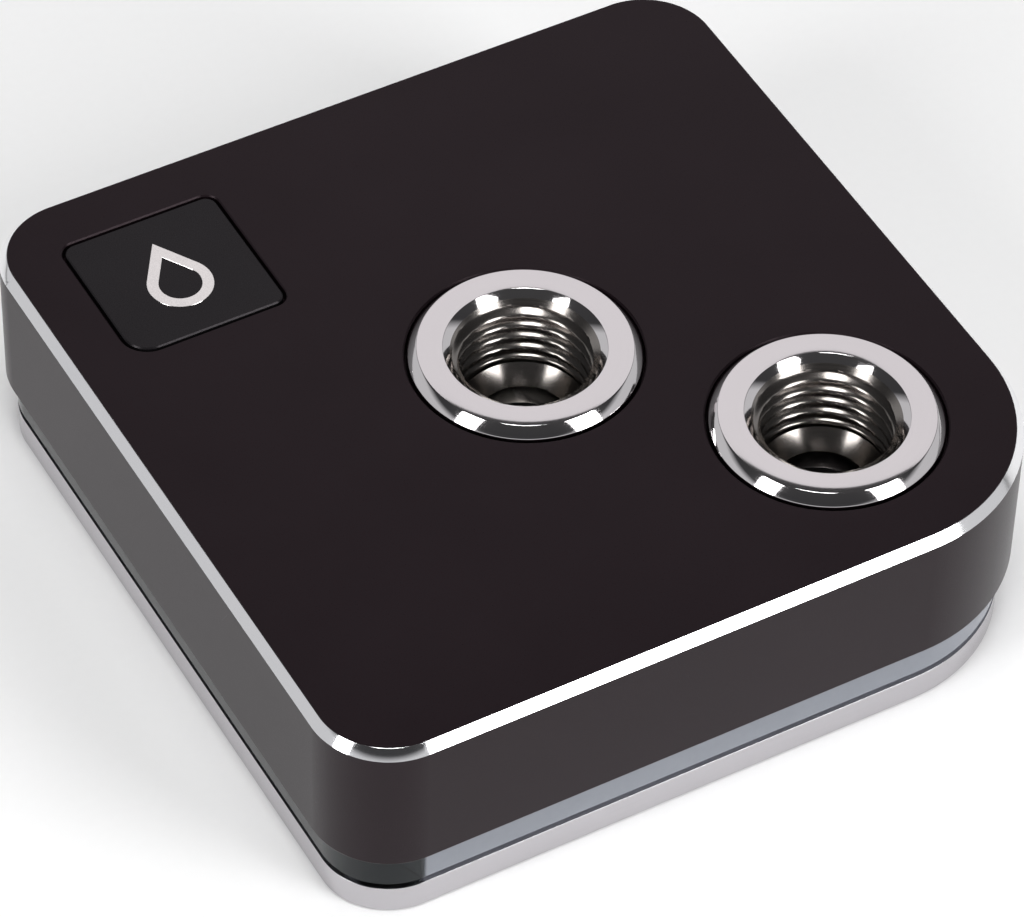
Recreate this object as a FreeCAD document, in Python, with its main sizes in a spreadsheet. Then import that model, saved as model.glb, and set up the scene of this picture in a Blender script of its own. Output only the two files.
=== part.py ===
import FreeCAD, Part
import math
import os
import Sketcher

# Liquid cooling cold plate: a square anodised cover with two threaded ports over an acrylic spacer
# frame and a nickel-plated copper base plate with fins. Millimetres, +Z up. The origin is at the
# middle of the cold face, which lies at Z = 0. The front side is -Y and the ports' diagonal runs
# from the middle towards +X and -Y.

SIZES = [
    ("block_side", 72.0, "side of the square cover"),
    ("corner_radius", 7.2, "outer radius of the three plain corners"),
    ("port_corner_radius", 16.2, "outer radius of the corner beside the outlet"),
    ("base_thick", 3.0, "thickness of the base plate's rim"),
    ("base_bevel", 0.25, "bevel of the base plate's two outer edges"),
    ("frame_height", 4.3, "height of the spacer frame"),
    ("frame_bevel", 0.4, "bevel of the spacer frame's lower outer edge"),
    ("rim_inset", 0.9, "how far frame and base plate stand back from the cover"),
    ("cover_height", 14.1, "height of the cover"),
    ("cover_roof", 4.0, "thickness of the cover above its pocket"),
    ("edge_bevel_width", 0.7, "polished edge of the cover, seen from above"),
    ("edge_bevel_drop", 0.95, "polished edge of the cover, seen from the side"),
    ("port_x", -0.2, "inlet axis along X"),
    ("port_y", -0.5, "inlet axis along Y"),
    ("outlet_inset", 16.9, "distance from the cover's side to the outlet, less the inlet's own"),
    ("collar_web", 1.2, "least wall of the cover between the two collars"),
    ("collar_radius", 10.4, "outer radius of a collar's flange"),
    ("collar_rise", 0.95, "height of a collar above the cover"),
    ("collar_bevel", 0.9, "outer bevel of a collar's flange"),
    ("collar_sink", 2.0, "depth of a collar's flange in the cover"),
    ("collar_play", 0.12, "gap round a collar's flange in the cover"),
    ("seat_bevel", 0.15, "bevel of the cover's edge round a collar"),
    ("mouth_radius", 7.2, "radius of a port's countersink at its mouth"),
    ("thread_radius", 5.72, "wall radius of a port's thread"),
    ("thread_length", 6.25, "length of a port's thread"),
    ("bore_radius", 4.2, "radius of the coolant passages"),
    ("neck_radius", 8.0, "outer radius of a collar's neck"),
    ("neck_length", 8.4, "length of a collar's neck below its flange"),
    ("neck_play", 0.05, "gap round a collar's neck"),
    ("neck_end_gap", 0.2, "gap under the end of a collar's neck"),
    ("neck_land", 0.4, "collar neck left below its seal groove"),
    ("seal_section", 1.2, "section of a collar's seal"),
    ("seal_play", 0.05, "gap all round a collar's seal"),
    ("flow_wall", 8.5, "distance from the cover's side to the flow body"),
    ("flow_corner", 8.0, "radius of the flow body's three plain corners"),
    ("flow_play", 0.15, "gap round the flow body"),
    ("lobe_wall", 2.05, "flow body's wall round the outlet's socket"),
    ("island_inset", 0.5, "distance from the jet plate's side to the raised fin field"),
    ("island_rise", 2.0, "height of the fin field above the rim"),
    ("channel_width", 0.5, "width of a channel between fins"),
    ("channel_pitch", 1.0, "spacing of the channels"),
    ("channel_count", 27, "number of channels"),
    ("channel_depth", 3.4, "depth of a channel from the fins' tips"),
    ("jet_thick", 0.8, "thickness of the jet plate"),
    ("jet_margin", 0.1, "distance from the jet plate's side to the gasket"),
    ("jet_slot_width", 1.2, "width of the jet plate's slot"),
    ("jet_slot_corner", 0.4, "corner radius of the jet plate's slot"),
    ("jet_corner", 1.0, "corner radius of the jet plate"),
    ("nozzle_width", 7.0, "width of the inlet chamber"),
    ("nozzle_length", 24.0, "length of the inlet chamber and of the jet plate's slot"),
    ("nozzle_height", 2.7, "height of the inlet chamber"),
    ("nozzle_corner", 2.0, "corner radius of the inlet chamber"),
    ("gasket_thick", 0.5, "thickness of the nozzle gasket"),
    ("gasket_margin", 0.5, "gasket's distance from the inlet chamber"),
    ("gasket_band", 1.9, "width of the gasket's band"),
    ("collector_left", 5.8, "room in the collector on the left of the fin field"),
    ("collector_back", 2.5, "room in the collector behind the fin field"),
    ("main_seal_inset", 1.9, "distance from the flow body's side to the main seal's middle"),
    ("main_seal_section", 1.5, "section of the main seal"),
    ("main_seal_rounding", 0.72, "radius of the main seal's rounded edges"),
    ("main_seal_play", 0.05, "gap above and below the main seal"),
    ("main_groove_play", 0.1, "gap at each side of the main seal"),
    ("screw_inset", 5.5, "distance from the cover's side to a side screw"),
    ("corner_screw_inset", 7.5, "distance from the cover's side to a corner screw"),
    ("screw_radius", 1.25, "radius of a screw's shank"),
    ("screw_hole_gap", 0.1, "gap round a screw in the base plate and frame"),
    ("screw_thread_gap", 0.05, "gap round a screw in the cover"),
    ("screw_head_radius", 2.35, "radius of a screw's countersunk head"),
    ("screw_head_gap", 0.05, "gap round a screw's head"),
    ("screw_sink", 0.1, "depth of a screw's head below the cold face"),
    ("screw_grip", 5.5, "length of a screw in the cover"),
    ("screw_tip_gap", 0.8, "depth left beyond a screw's tip"),
    ("socket_width", 1.5, "width across the flats of a screw's socket"),
    ("socket_depth", 0.9, "depth of a screw's socket"),
    ("badge_side", 15.4, "side of the badge's pocket"),
    ("badge_left_inset", 13.3, "distance from the cover's left side to the badge's middle"),
    ("badge_back_inset", 13.4, "distance from the cover's rear side to the badge's middle"),
    ("badge_corner", 1.4, "radius of three corners of the badge's pocket"),
    ("badge_front_corner", 2.6, "radius of the badge pocket's front left corner"),
    ("badge_play", 0.2, "gap round the badge"),
    ("badge_bevel", 0.12, "bevel of the badge and of its pocket"),
    ("badge_thick", 1.05, "thickness of the badge"),
    ("film_thick", 0.15, "thickness of the adhesive film under the badge"),
    ("film_margin", 0.8, "film's distance from the badge's side"),
    ("drop_radius", 3.0, "radius of the drop mark's round end"),
    ("drop_reach", 5.6, "distance from the drop's centre to its tip"),
    ("drop_stroke", 1.1, "width of the drop mark's line"),
    ("drop_shift", 1.3, "drop's centre, against Y from the badge's middle"),
    ("inlay_depth", 0.3, "depth of the drop mark in the badge"),
    ("inlay_rise", 0.05, "height of the drop mark above the badge"),
    ("inlay_play", 0.03, "gap round the drop mark"),
]

# Levels and places that several pieces share, as expressions on the sheet.
FRAME_LEVEL = "Sizes.base_thick"
COVER_LEVEL = "(Sizes.base_thick + Sizes.frame_height)"
TOP_LEVEL = "(Sizes.base_thick + Sizes.frame_height + Sizes.cover_height)"
ROOF_LEVEL = f"({TOP_LEVEL} - Sizes.cover_roof)"
FINS_LEVEL = "(Sizes.base_thick + Sizes.island_rise)"
JET_LEVEL = f"({FINS_LEVEL} + Sizes.jet_thick)"
COLLECTOR_LEVEL = f"({JET_LEVEL} + Sizes.gasket_thick)"
NOZZLE_LEVEL = f"({COLLECTOR_LEVEL} + Sizes.nozzle_height)"
NECK_LEVEL = f"({TOP_LEVEL} - Sizes.collar_sink - Sizes.neck_length)"
SCREW_TIP = f"({COVER_LEVEL} + Sizes.screw_grip)"
BADGE_LEVEL = f"({TOP_LEVEL} - Sizes.badge_thick)"
JET_SIDE = "(Sizes.nozzle_length + 2 * (Sizes.gasket_margin + Sizes.gasket_band + Sizes.jet_margin))"
ISLAND_SIDE = f"({JET_SIDE} - 2 * Sizes.island_inset)"
FLOW_HALF = "(Sizes.block_side / 2 - Sizes.flow_wall)"
FLOW_PORT_RADIUS = "(Sizes.port_corner_radius - Sizes.flow_wall)"
LOBE_RADIUS = "(Sizes.neck_radius + Sizes.neck_play + Sizes.lobe_wall)"
SCREW_HOLE = "(Sizes.screw_radius + Sizes.screw_hole_gap)"
SEAT_RADIUS = "(Sizes.collar_radius + Sizes.collar_play)"
LEAST_STEP = f"((2 * {SEAT_RADIUS} + Sizes.collar_web) / sqrt(2))"
PORT_STEP = f"max(Sizes.block_side / 2 - Sizes.outlet_inset; {LEAST_STEP})"
INLET = ("Sizes.port_x", "Sizes.port_y")
OUTLET = (f"(Sizes.port_x + {PORT_STEP})", f"(Sizes.port_y - {PORT_STEP})")
BADGE_X = "(Sizes.badge_left_inset - Sizes.block_side / 2)"
BADGE_Y = "(Sizes.block_side / 2 - Sizes.badge_back_inset)"
SCREW_SIDE = "(Sizes.block_side / 2 - Sizes.screw_inset)"
SCREW_CORNER = "(Sizes.block_side / 2 - Sizes.corner_screw_inset)"
SCREWS = [
    (SCREW_SIDE, "0"),
    (SCREW_CORNER, SCREW_CORNER),
    ("0", SCREW_SIDE),
    (f"-{SCREW_CORNER}", SCREW_CORNER),
    (f"-{SCREW_SIDE}", "0"),
    (f"-{SCREW_CORNER}", f"-{SCREW_CORNER}"),
    ("0", f"-{SCREW_SIDE}"),
    (SCREW_CORNER, f"-{SCREW_CORNER}"),
]

NEAR = 1e-4
QUARTER = math.pi / 2


def write_sheet():
    """Puts every driving size in the spreadsheet, one row each."""
    sheet = doc.addObject("Spreadsheet::Sheet", "Sizes")
    for row, (alias, value, note) in enumerate(SIZES, start=1):
        sheet.set(f"A{row}", alias)
        sheet.set(f"B{row}", str(value))
        sheet.setAlias(f"B{row}", alias)
        sheet.set(f"C{row}", note)
    doc.recompute()
    return sheet


def number(expression):
    """Value of an expression on the sheet."""
    return float(sizes.evalExpression(expression))


def new_body(name):
    """Empty body of one piece."""
    body = doc.addObject("PartDesign::Body", name)
    body.Label = name
    return body


def new_sketch(body, name, level="0", plane="XY_Plane"):
    """Sketch on one of the body's own planes, raised to a level."""
    sketch = body.newObject("Sketcher::SketchObject", name)
    support = next(item for item in body.Origin.OriginFeatures if item.Role == plane)
    sketch.AttachmentSupport = [(support, "")]
    sketch.MapMode = "FlatFace"
    sketch.setExpression("AttachmentOffset.Base.z", level)
    return sketch


def tie(sketch, constraint, expression):
    """Adds a constraint whose value follows an expression."""
    index = sketch.addConstraint(constraint)
    sketch.setExpression(f"Constraints[{index}]", expression)


def pin(sketch, edge, end, x, y):
    """Holds one point of a sketch at a pair of expressions."""
    for kind, expression, axis in (("DistanceX", x, -2), ("DistanceY", y, -1)):
        if expression == "0":
            sketch.addConstraint(Sketcher.Constraint("PointOnObject", edge, end, axis))
        else:
            place = Sketcher.Constraint(kind, -1, 1, edge, end, number(expression))
            tie(sketch, place, expression)


def add_polygon(sketch, corners):
    """Closed outline of straight lines through pairs of expressions."""
    first = sketch.GeometryCount
    points = [FreeCAD.Vector(number(x), number(y), 0) for x, y in corners]
    for start, end in zip(points, points[1:] + points[:1]):
        sketch.addGeometry(Part.LineSegment(start, end), False)
    for index, (x, y) in enumerate(corners):
        following = first + (index + 1) % len(corners)
        sketch.addConstraint(Sketcher.Constraint("Coincident", first + index, 2, following, 1))
        pin(sketch, first + index, 1, x, y)


def add_circle(sketch, centre, radius):
    """Circle whose centre and radius are expressions."""
    middle = FreeCAD.Vector(number(centre[0]), number(centre[1]), 0)
    circle = Part.Circle(middle, FreeCAD.Vector(0, 0, 1), number(radius))
    index = sketch.addGeometry(circle, False)
    pin(sketch, index, 3, centre[0], centre[1])
    tie(sketch, Sketcher.Constraint("Radius", index, number(radius)), radius)


def add_rounded(sketch, left, right, front, back, radii):
    """Rounded rectangle. radii are of the corners front right, back right, back left, front left."""
    x_low, x_high, y_low, y_high = (number(side) for side in (left, right, front, back))
    sizes_of_corners = [number(radius) for radius in radii]
    corners = [(x_high, y_low, -1, 1), (x_high, y_high, -1, -1), (x_low, y_high, 1, -1), (x_low, y_low, 1, 1)]
    arcs = []
    for turn, ((x, y, to_x, to_y), radius) in enumerate(zip(corners, sizes_of_corners)):
        centre = FreeCAD.Vector(x + to_x * radius, y + to_y * radius, 0)
        circle = Part.Circle(centre, FreeCAD.Vector(0, 0, 1), radius)
        arcs.append(Part.ArcOfCircle(circle, (turn - 1) * QUARTER, turn * QUARTER))
    first = sketch.GeometryCount
    for index, arc in enumerate(arcs):
        following = arcs[(index + 1) % 4]
        sketch.addGeometry(arc, False)
        sketch.addGeometry(Part.LineSegment(arc.EndPoint, following.StartPoint), False)
    for index in range(4):
        arc = first + 2 * index
        line = arc + 1
        following = first + (2 * index + 2) % 8
        sketch.addConstraint(Sketcher.Constraint("Tangent", arc, 2, line, 1))
        sketch.addConstraint(Sketcher.Constraint("Tangent", line, 2, following, 1))
        sketch.addConstraint(Sketcher.Constraint("Horizontal" if index % 2 else "Vertical", line))
        tie(sketch, Sketcher.Constraint("Radius", arc, sizes_of_corners[index]), radii[index])
    sides = (("DistanceX", right, x_high), ("DistanceY", back, y_high),
             ("DistanceX", left, x_low), ("DistanceY", front, y_low))
    for index, (kind, expression, value) in enumerate(sides):
        line = first + 2 * index + 1
        tie(sketch, Sketcher.Constraint(kind, -1, 1, line, 1, value), expression)


def add_square(sketch, half, port_radius, plain_radius):
    """Outline about the origin with the block's one large corner, front right."""
    add_rounded(sketch, f"-{half}", half, f"-{half}", half, [port_radius] + [plain_radius] * 3)


def add_centred(sketch, centre, width, length, radius):
    """Rounded rectangle about a centre, with four like corners."""
    x, y = centre
    add_rounded(sketch, f"{x} - {width} / 2", f"{x} + {width} / 2",
                f"{y} - {length} / 2", f"{y} + {length} / 2", [radius] * 4)


def add_block_outline(sketch, inset):
    """The block's outline, drawn in by an inset."""
    add_square(sketch, f"(Sizes.block_side / 2 - {inset})",
               f"(Sizes.port_corner_radius - {inset})", f"(Sizes.corner_radius - {inset})")


def add_flow_outline(sketch, offset):
    """The flow body's outline without its lobe, grown by an offset."""
    add_square(sketch, f"({FLOW_HALF} + {offset})",
               f"({FLOW_PORT_RADIUS} + {offset})", f"(Sizes.flow_corner + {offset})")


def add_badge_outline(sketch, inset):
    """The badge pocket's outline, drawn in by an inset."""
    half = f"(Sizes.badge_side / 2 - {inset})"
    add_rounded(sketch, f"{BADGE_X} - {half}", f"{BADGE_X} + {half}",
                f"{BADGE_Y} - {half}", f"{BADGE_Y} + {half}",
                [f"(Sizes.badge_corner - {inset})"] * 3 + [f"(Sizes.badge_front_corner - {inset})"])


def add_drop(sketch, inset):
    """Drop outline: a round end with two tangent lines to a tip, drawn in by an inset."""
    radius = number(f"Sizes.drop_radius - {inset}")
    reach = number("Sizes.drop_reach") * radius / number("Sizes.drop_radius")
    centre = FreeCAD.Vector(number(BADGE_X), number(f"{BADGE_Y} - Sizes.drop_shift"), 0)
    tip = centre + FreeCAD.Vector(0, reach, 0)
    rise = radius * radius / reach
    half = (radius * radius - rise * rise) ** 0.5
    right = centre + FreeCAD.Vector(half, rise, 0)
    left = centre + FreeCAD.Vector(-half, rise, 0)
    low = centre - FreeCAD.Vector(0, radius, 0)
    first = sketch.GeometryCount
    sketch.addGeometry(Part.Arc(left, low, right), False)
    sketch.addGeometry(Part.LineSegment(right, tip), False)
    sketch.addGeometry(Part.LineSegment(tip, left), False)
    arc, up, down = first, first + 1, first + 2
    sketch.addConstraint(Sketcher.Constraint("Tangent", arc, 2, up, 1))
    sketch.addConstraint(Sketcher.Constraint("Coincident", up, 2, down, 1))
    sketch.addConstraint(Sketcher.Constraint("Tangent", down, 2, arc, 1))
    pin(sketch, arc, 3, BADGE_X, f"{BADGE_Y} - Sizes.drop_shift")
    tie(sketch, Sketcher.Constraint("Radius", arc, radius), f"Sizes.drop_radius - {inset}")
    reach_rule = f"Sizes.drop_reach * (Sizes.drop_radius - {inset}) / Sizes.drop_radius"
    pin(sketch, up, 2, BADGE_X, f"{BADGE_Y} - Sizes.drop_shift + {reach_rule}")


def pad(body, name, sketch, length):
    """Raises a sketch by a length that follows an expression."""
    feature = body.newObject("PartDesign::Pad", name)
    feature.Profile = sketch
    feature.setExpression("Length", length)
    sketch.Visibility = False
    doc.recompute()
    return feature


def pocket(body, name, sketch, depth):
    """Cuts a sketch downwards, and checks that it took material away."""
    before = body.Shape.Volume
    feature = body.newObject("PartDesign::Pocket", name)
    feature.Profile = sketch
    feature.setExpression("Length", depth)
    sketch.Visibility = False
    doc.recompute()
    if body.Shape.Volume > before - NEAR:
        raise RuntimeError(f"{name} cuts nothing")
    return feature


def turn(body, name, sketch):
    """Turns a sketch about the body's Z axis."""
    feature = body.newObject("PartDesign::Revolution", name)
    feature.Profile = sketch
    feature.ReferenceAxis = (sketch, ["V_Axis"])
    feature.Angle = 360
    doc.recompute()
    return feature


def chamfer(body, name, elements, size, second=None):
    """Bevels faces or edges of the body's last feature."""
    base = body.Tip
    feature = body.newObject("PartDesign::Chamfer", name)
    feature.Base = (base, elements)
    feature.setExpression("Size", size)
    if second:
        feature.ChamferType = "Two distances"
        feature.setExpression("Size2", second)
    doc.recompute()
    return feature


def edges_at(body, level, test):
    """Names of the body's edges that lie flat at a level and pass a test."""
    height = number(level)
    names = []
    for index, edge in enumerate(body.Shape.Edges, start=1):
        box = edge.BoundBox
        if abs(box.ZMin - height) < NEAR and abs(box.ZMax - height) < NEAR and test(edge):
            names.append(f"Edge{index}")
    return names


def is_round(edge, radius):
    """True where an edge is an arc of a radius."""
    return hasattr(edge.Curve, "Radius") and abs(edge.Curve.Radius - number(radius)) < NEAR


def is_outer(edge, inset):
    """True where an edge belongs to the block's outline, drawn in by an inset."""
    middle = edge.valueAt((edge.FirstParameter + edge.LastParameter) / 2)
    half = number(f"Sizes.block_side / 2 - {inset}")
    if hasattr(edge.Curve, "Radius"):
        radii = (number(f"Sizes.port_corner_radius - {inset}"), number(f"Sizes.corner_radius - {inset}"))
        return min(abs(edge.Curve.Radius - radius) for radius in radii) < NEAR
    return abs(max(abs(middle.x), abs(middle.y)) - half) < NEAR


def is_badge(edge):
    """True where an edge lies round the badge's pocket."""
    box = edge.BoundBox
    reach = number("Sizes.badge_side / 2") + NEAR
    return abs(box.Center.x - number(BADGE_X)) < reach and abs(box.Center.y - number(BADGE_Y)) < reach


def move(body, x, y, z):
    """Sets a body's place from three expressions."""
    body.setExpression("Placement.Base.x", x)
    body.setExpression("Placement.Base.y", y)
    body.setExpression("Placement.Base.z", z)
    return body


def cut_screw_holes(body, name, level, depth, radius):
    """The eight screw holes, cut downwards from a level."""
    sketch = new_sketch(body, f"{name}_sketch", level)
    for place in SCREWS:
        add_circle(sketch, place, radius)
    pocket(body, name, sketch, depth)


def make_top_cover():
    """Anodised cover: chamfered block with seats for the collars, a pocket below and a badge pocket."""
    body = new_body("top_cover")
    outline = new_sketch(body, "cover_outline", COVER_LEVEL)
    add_block_outline(outline, "0")
    pad(body, "cover_block", outline, "Sizes.cover_height")
    top = edges_at(body, TOP_LEVEL, lambda edge: True)
    chamfer(body, "cover_edge", top, "Sizes.edge_bevel_drop", "Sizes.edge_bevel_width")
    inside = new_sketch(body, "cover_pocket_outline", ROOF_LEVEL)
    add_flow_outline(inside, "Sizes.flow_play")
    pocket(body, "cover_pocket", inside, "Sizes.cover_height - Sizes.cover_roof")
    lobe = new_sketch(body, "cover_lobe_outline", ROOF_LEVEL)
    add_circle(lobe, OUTLET, f"{LOBE_RADIUS} + Sizes.flow_play")
    pocket(body, "cover_lobe", lobe, "Sizes.cover_height - Sizes.cover_roof")
    seats = new_sketch(body, "collar_seat_outline", TOP_LEVEL)
    necks = new_sketch(body, "collar_hole_outline", TOP_LEVEL)
    for port in (INLET, OUTLET):
        add_circle(seats, port, SEAT_RADIUS)
        add_circle(necks, port, "Sizes.neck_radius + Sizes.neck_play")
    pocket(body, "collar_seats", seats, "Sizes.collar_sink")
    pocket(body, "collar_holes", necks, "Sizes.cover_roof")
    badge = new_sketch(body, "badge_pocket_outline", TOP_LEVEL)
    add_badge_outline(badge, "0")
    pocket(body, "badge_pocket", badge, "Sizes.badge_thick + Sizes.film_thick")
    bores = f"{SCREW_TIP} + Sizes.screw_tip_gap"
    cut_screw_holes(body, "cover_screw_holes", bores, "Sizes.screw_grip + Sizes.screw_tip_gap",
                    "Sizes.screw_radius + Sizes.screw_thread_gap")
    seat_edges = edges_at(body, TOP_LEVEL, lambda edge: is_round(edge, SEAT_RADIUS))
    chamfer(body, "seat_bevels", seat_edges, "Sizes.seat_bevel")
    chamfer(body, "badge_pocket_bevel", edges_at(body, TOP_LEVEL, is_badge), "Sizes.badge_bevel")
    return body


def make_badge_tile():
    """Badge with a recess for the drop mark."""
    body = new_body("badge_tile")
    outline = new_sketch(body, "tile_outline", BADGE_LEVEL)
    add_badge_outline(outline, "Sizes.badge_play")
    pad(body, "tile", outline, "Sizes.badge_thick")
    chamfer(body, "tile_edge", edges_at(body, TOP_LEVEL, lambda edge: True), "Sizes.badge_bevel")
    mark = new_sketch(body, "recess_outline", TOP_LEVEL)
    add_drop(mark, "0")
    add_drop(mark, "Sizes.drop_stroke")
    pocket(body, "recess", mark, "Sizes.inlay_depth")
    return body


def make_badge_inlay():
    """Drop mark that lies in the badge's recess."""
    body = new_body("badge_inlay")
    outline = new_sketch(body, "mark_outline", f"{TOP_LEVEL} - Sizes.inlay_depth")
    add_drop(outline, "Sizes.inlay_play")
    add_drop(outline, "(Sizes.drop_stroke - Sizes.inlay_play)")
    pad(body, "mark", outline, "Sizes.inlay_depth + Sizes.inlay_rise")
    return body


def make_badge_film():
    """Adhesive film between badge and cover."""
    body = new_body("badge_film")
    outline = new_sketch(body, "film_outline", f"{BADGE_LEVEL} - Sizes.film_thick")
    add_badge_outline(outline, "(Sizes.badge_play + Sizes.film_margin)")
    pad(body, "film", outline, "Sizes.film_thick")
    return body


def make_collar(name, port):
    """Turned port collar: bevelled flange, threaded bore with a countersink, and a grooved neck."""
    body = new_body(name)
    flange = "-Sizes.collar_sink"
    end = f"({flange} - Sizes.neck_length)"
    groove_low = f"({end} + Sizes.neck_land)"
    groove_high = f"({groove_low} + Sizes.seal_section + 2 * Sizes.seal_play)"
    groove_radius = "(Sizes.neck_radius + Sizes.neck_play - Sizes.seal_section - 2 * Sizes.seal_play)"
    thread_high = "(Sizes.collar_rise - Sizes.mouth_radius + Sizes.thread_radius)"
    thread_low = f"({thread_high} - Sizes.thread_length)"
    cone_low = f"({thread_low} - Sizes.thread_radius + Sizes.bore_radius)"
    profile = new_sketch(body, f"{name}_profile", plane="XZ_Plane")
    add_polygon(profile, [
        ("Sizes.mouth_radius", "Sizes.collar_rise"),
        ("(Sizes.collar_radius - Sizes.collar_bevel)", "Sizes.collar_rise"),
        ("Sizes.collar_radius", "(Sizes.collar_rise - Sizes.collar_bevel)"),
        ("Sizes.collar_radius", flange),
        ("Sizes.neck_radius", flange),
        ("Sizes.neck_radius", groove_high),
        (groove_radius, groove_high),
        (groove_radius, groove_low),
        ("Sizes.neck_radius", groove_low),
        ("Sizes.neck_radius", end),
        ("Sizes.bore_radius", end),
        ("Sizes.bore_radius", cone_low),
        ("Sizes.thread_radius", thread_low),
        ("Sizes.thread_radius", thread_high),
    ])
    turn(body, f"{name}_turned", profile)
    return move(body, port[0], port[1], TOP_LEVEL)


def make_collar_seal(name, port):
    """Round seal in the groove of a collar's neck."""
    seal = doc.addObject("Part::Torus", name)
    seal.Label = name
    seal.setExpression("Radius1", "Sizes.neck_radius + Sizes.neck_play - Sizes.seal_play - Sizes.seal_section / 2")
    seal.setExpression("Radius2", "Sizes.seal_section / 2")
    level = f"{NECK_LEVEL} + Sizes.neck_land + Sizes.seal_play + Sizes.seal_section / 2"
    return move(seal, port[0], port[1], level)


def make_flow_body():
    """Manifold: sockets for the collars, inlet chamber, collector and the main seal's groove."""
    body = new_body("flow_body")
    height = f"{ROOF_LEVEL} - {FRAME_LEVEL}"
    outline = new_sketch(body, "flow_outline", FRAME_LEVEL)
    add_flow_outline(outline, "0")
    pad(body, "flow_block", outline, height)
    lobe = new_sketch(body, "lobe_outline", FRAME_LEVEL)
    add_circle(lobe, OUTLET, LOBE_RADIUS)
    pad(body, "flow_lobe", lobe, height)
    sockets = new_sketch(body, "socket_outline", ROOF_LEVEL)
    passages = new_sketch(body, "passage_outline", ROOF_LEVEL)
    for port in (INLET, OUTLET):
        add_circle(sockets, port, "Sizes.neck_radius + Sizes.neck_play")
        add_circle(passages, port, "Sizes.bore_radius")
    pocket(body, "sockets", sockets, f"{ROOF_LEVEL} - {NECK_LEVEL} + Sizes.neck_end_gap")
    pocket(body, "passages", passages, f"{ROOF_LEVEL} - {COLLECTOR_LEVEL}")
    chamber = new_sketch(body, "nozzle_outline", NOZZLE_LEVEL)
    add_centred(chamber, INLET, "Sizes.nozzle_width", "Sizes.nozzle_length", "Sizes.nozzle_corner")
    pocket(body, "nozzle_chamber", chamber, f"{NOZZLE_LEVEL} - {FRAME_LEVEL}")
    collector = new_sketch(body, "collector_outline", COLLECTOR_LEVEL)
    island = f"{ISLAND_SIDE} / 2"
    add_rounded(collector, f"Sizes.port_x - {island} - Sizes.collector_left",
                f"{OUTLET[0]} + Sizes.bore_radius", f"{OUTLET[1]} - Sizes.bore_radius",
                f"Sizes.port_y + {island} + Sizes.collector_back",
                ["Sizes.bore_radius"] * 4)
    pocket(body, "collector", collector, f"{COLLECTOR_LEVEL} - {FRAME_LEVEL}")
    depth = "(Sizes.main_seal_section + 2 * Sizes.main_seal_play)"
    reach = "Sizes.main_seal_section / 2 + Sizes.main_groove_play"
    groove = new_sketch(body, "groove_outline", f"{FRAME_LEVEL} + {depth}")
    add_flow_outline(groove, f"({reach} - Sizes.main_seal_inset)")
    add_flow_outline(groove, f"(-({reach}) - Sizes.main_seal_inset)")
    pocket(body, "seal_groove", groove, depth)
    return body


def make_main_seal():
    """Rubber seal round the collector, pressed between flow body and base plate."""
    body = new_body("main_seal")
    outline = new_sketch(body, "seal_outline", f"{FRAME_LEVEL} + Sizes.main_seal_play")
    add_flow_outline(outline, "(Sizes.main_seal_section / 2 - Sizes.main_seal_inset)")
    add_flow_outline(outline, "(-Sizes.main_seal_section / 2 - Sizes.main_seal_inset)")
    pad(body, "seal_band", outline, "Sizes.main_seal_section")
    low = f"{FRAME_LEVEL} + Sizes.main_seal_play"
    high = f"{low} + Sizes.main_seal_section"
    rims = edges_at(body, low, lambda edge: True) + edges_at(body, high, lambda edge: True)
    base = body.Tip
    rounding = body.newObject("PartDesign::Fillet", "seal_rounding")
    rounding.Base = (base, rims)
    rounding.setExpression("Radius", "Sizes.main_seal_rounding")
    doc.recompute()
    return body


def make_nozzle_gasket():
    """Thin gasket on the jet plate, round the inlet chamber."""
    body = new_body("nozzle_gasket")
    outline = new_sketch(body, "gasket_outline", JET_LEVEL)
    for margin in ("Sizes.gasket_margin", "(Sizes.gasket_margin + Sizes.gasket_band)"):
        add_centred(outline, INLET, f"(Sizes.nozzle_width + 2 * {margin})",
                    f"(Sizes.nozzle_length + 2 * {margin})", f"(Sizes.nozzle_corner + {margin})")
    pad(body, "gasket", outline, "Sizes.gasket_thick")
    return body


def make_jet_plate():
    """Thin plate on the fins, with one slot across them."""
    body = new_body("jet_plate")
    outline = new_sketch(body, "jet_outline", FINS_LEVEL)
    add_centred(outline, INLET, JET_SIDE, JET_SIDE, "Sizes.jet_corner")
    add_centred(outline, INLET, "Sizes.jet_slot_width", "Sizes.nozzle_length", "Sizes.jet_slot_corner")
    pad(body, "jet", outline, "Sizes.jet_thick")
    return body


def make_spacer_frame():
    """Clear frame round the flow body, between base plate and cover."""
    body = new_body("spacer_frame")
    outline = new_sketch(body, "frame_outline", FRAME_LEVEL)
    add_block_outline(outline, "Sizes.rim_inset")
    add_flow_outline(outline, "Sizes.flow_play")
    pad(body, "frame_ring", outline, "Sizes.frame_height")
    lobe = new_sketch(body, "frame_lobe_outline", COVER_LEVEL)
    add_circle(lobe, OUTLET, f"{LOBE_RADIUS} + Sizes.flow_play")
    pocket(body, "frame_lobe", lobe, "Sizes.frame_height")
    cut_screw_holes(body, "frame_screw_holes", COVER_LEVEL, "Sizes.frame_height", SCREW_HOLE)
    outer = edges_at(body, FRAME_LEVEL, lambda edge: is_outer(edge, "Sizes.rim_inset"))
    chamfer(body, "frame_edge", outer, "Sizes.frame_bevel")
    return body


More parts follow.
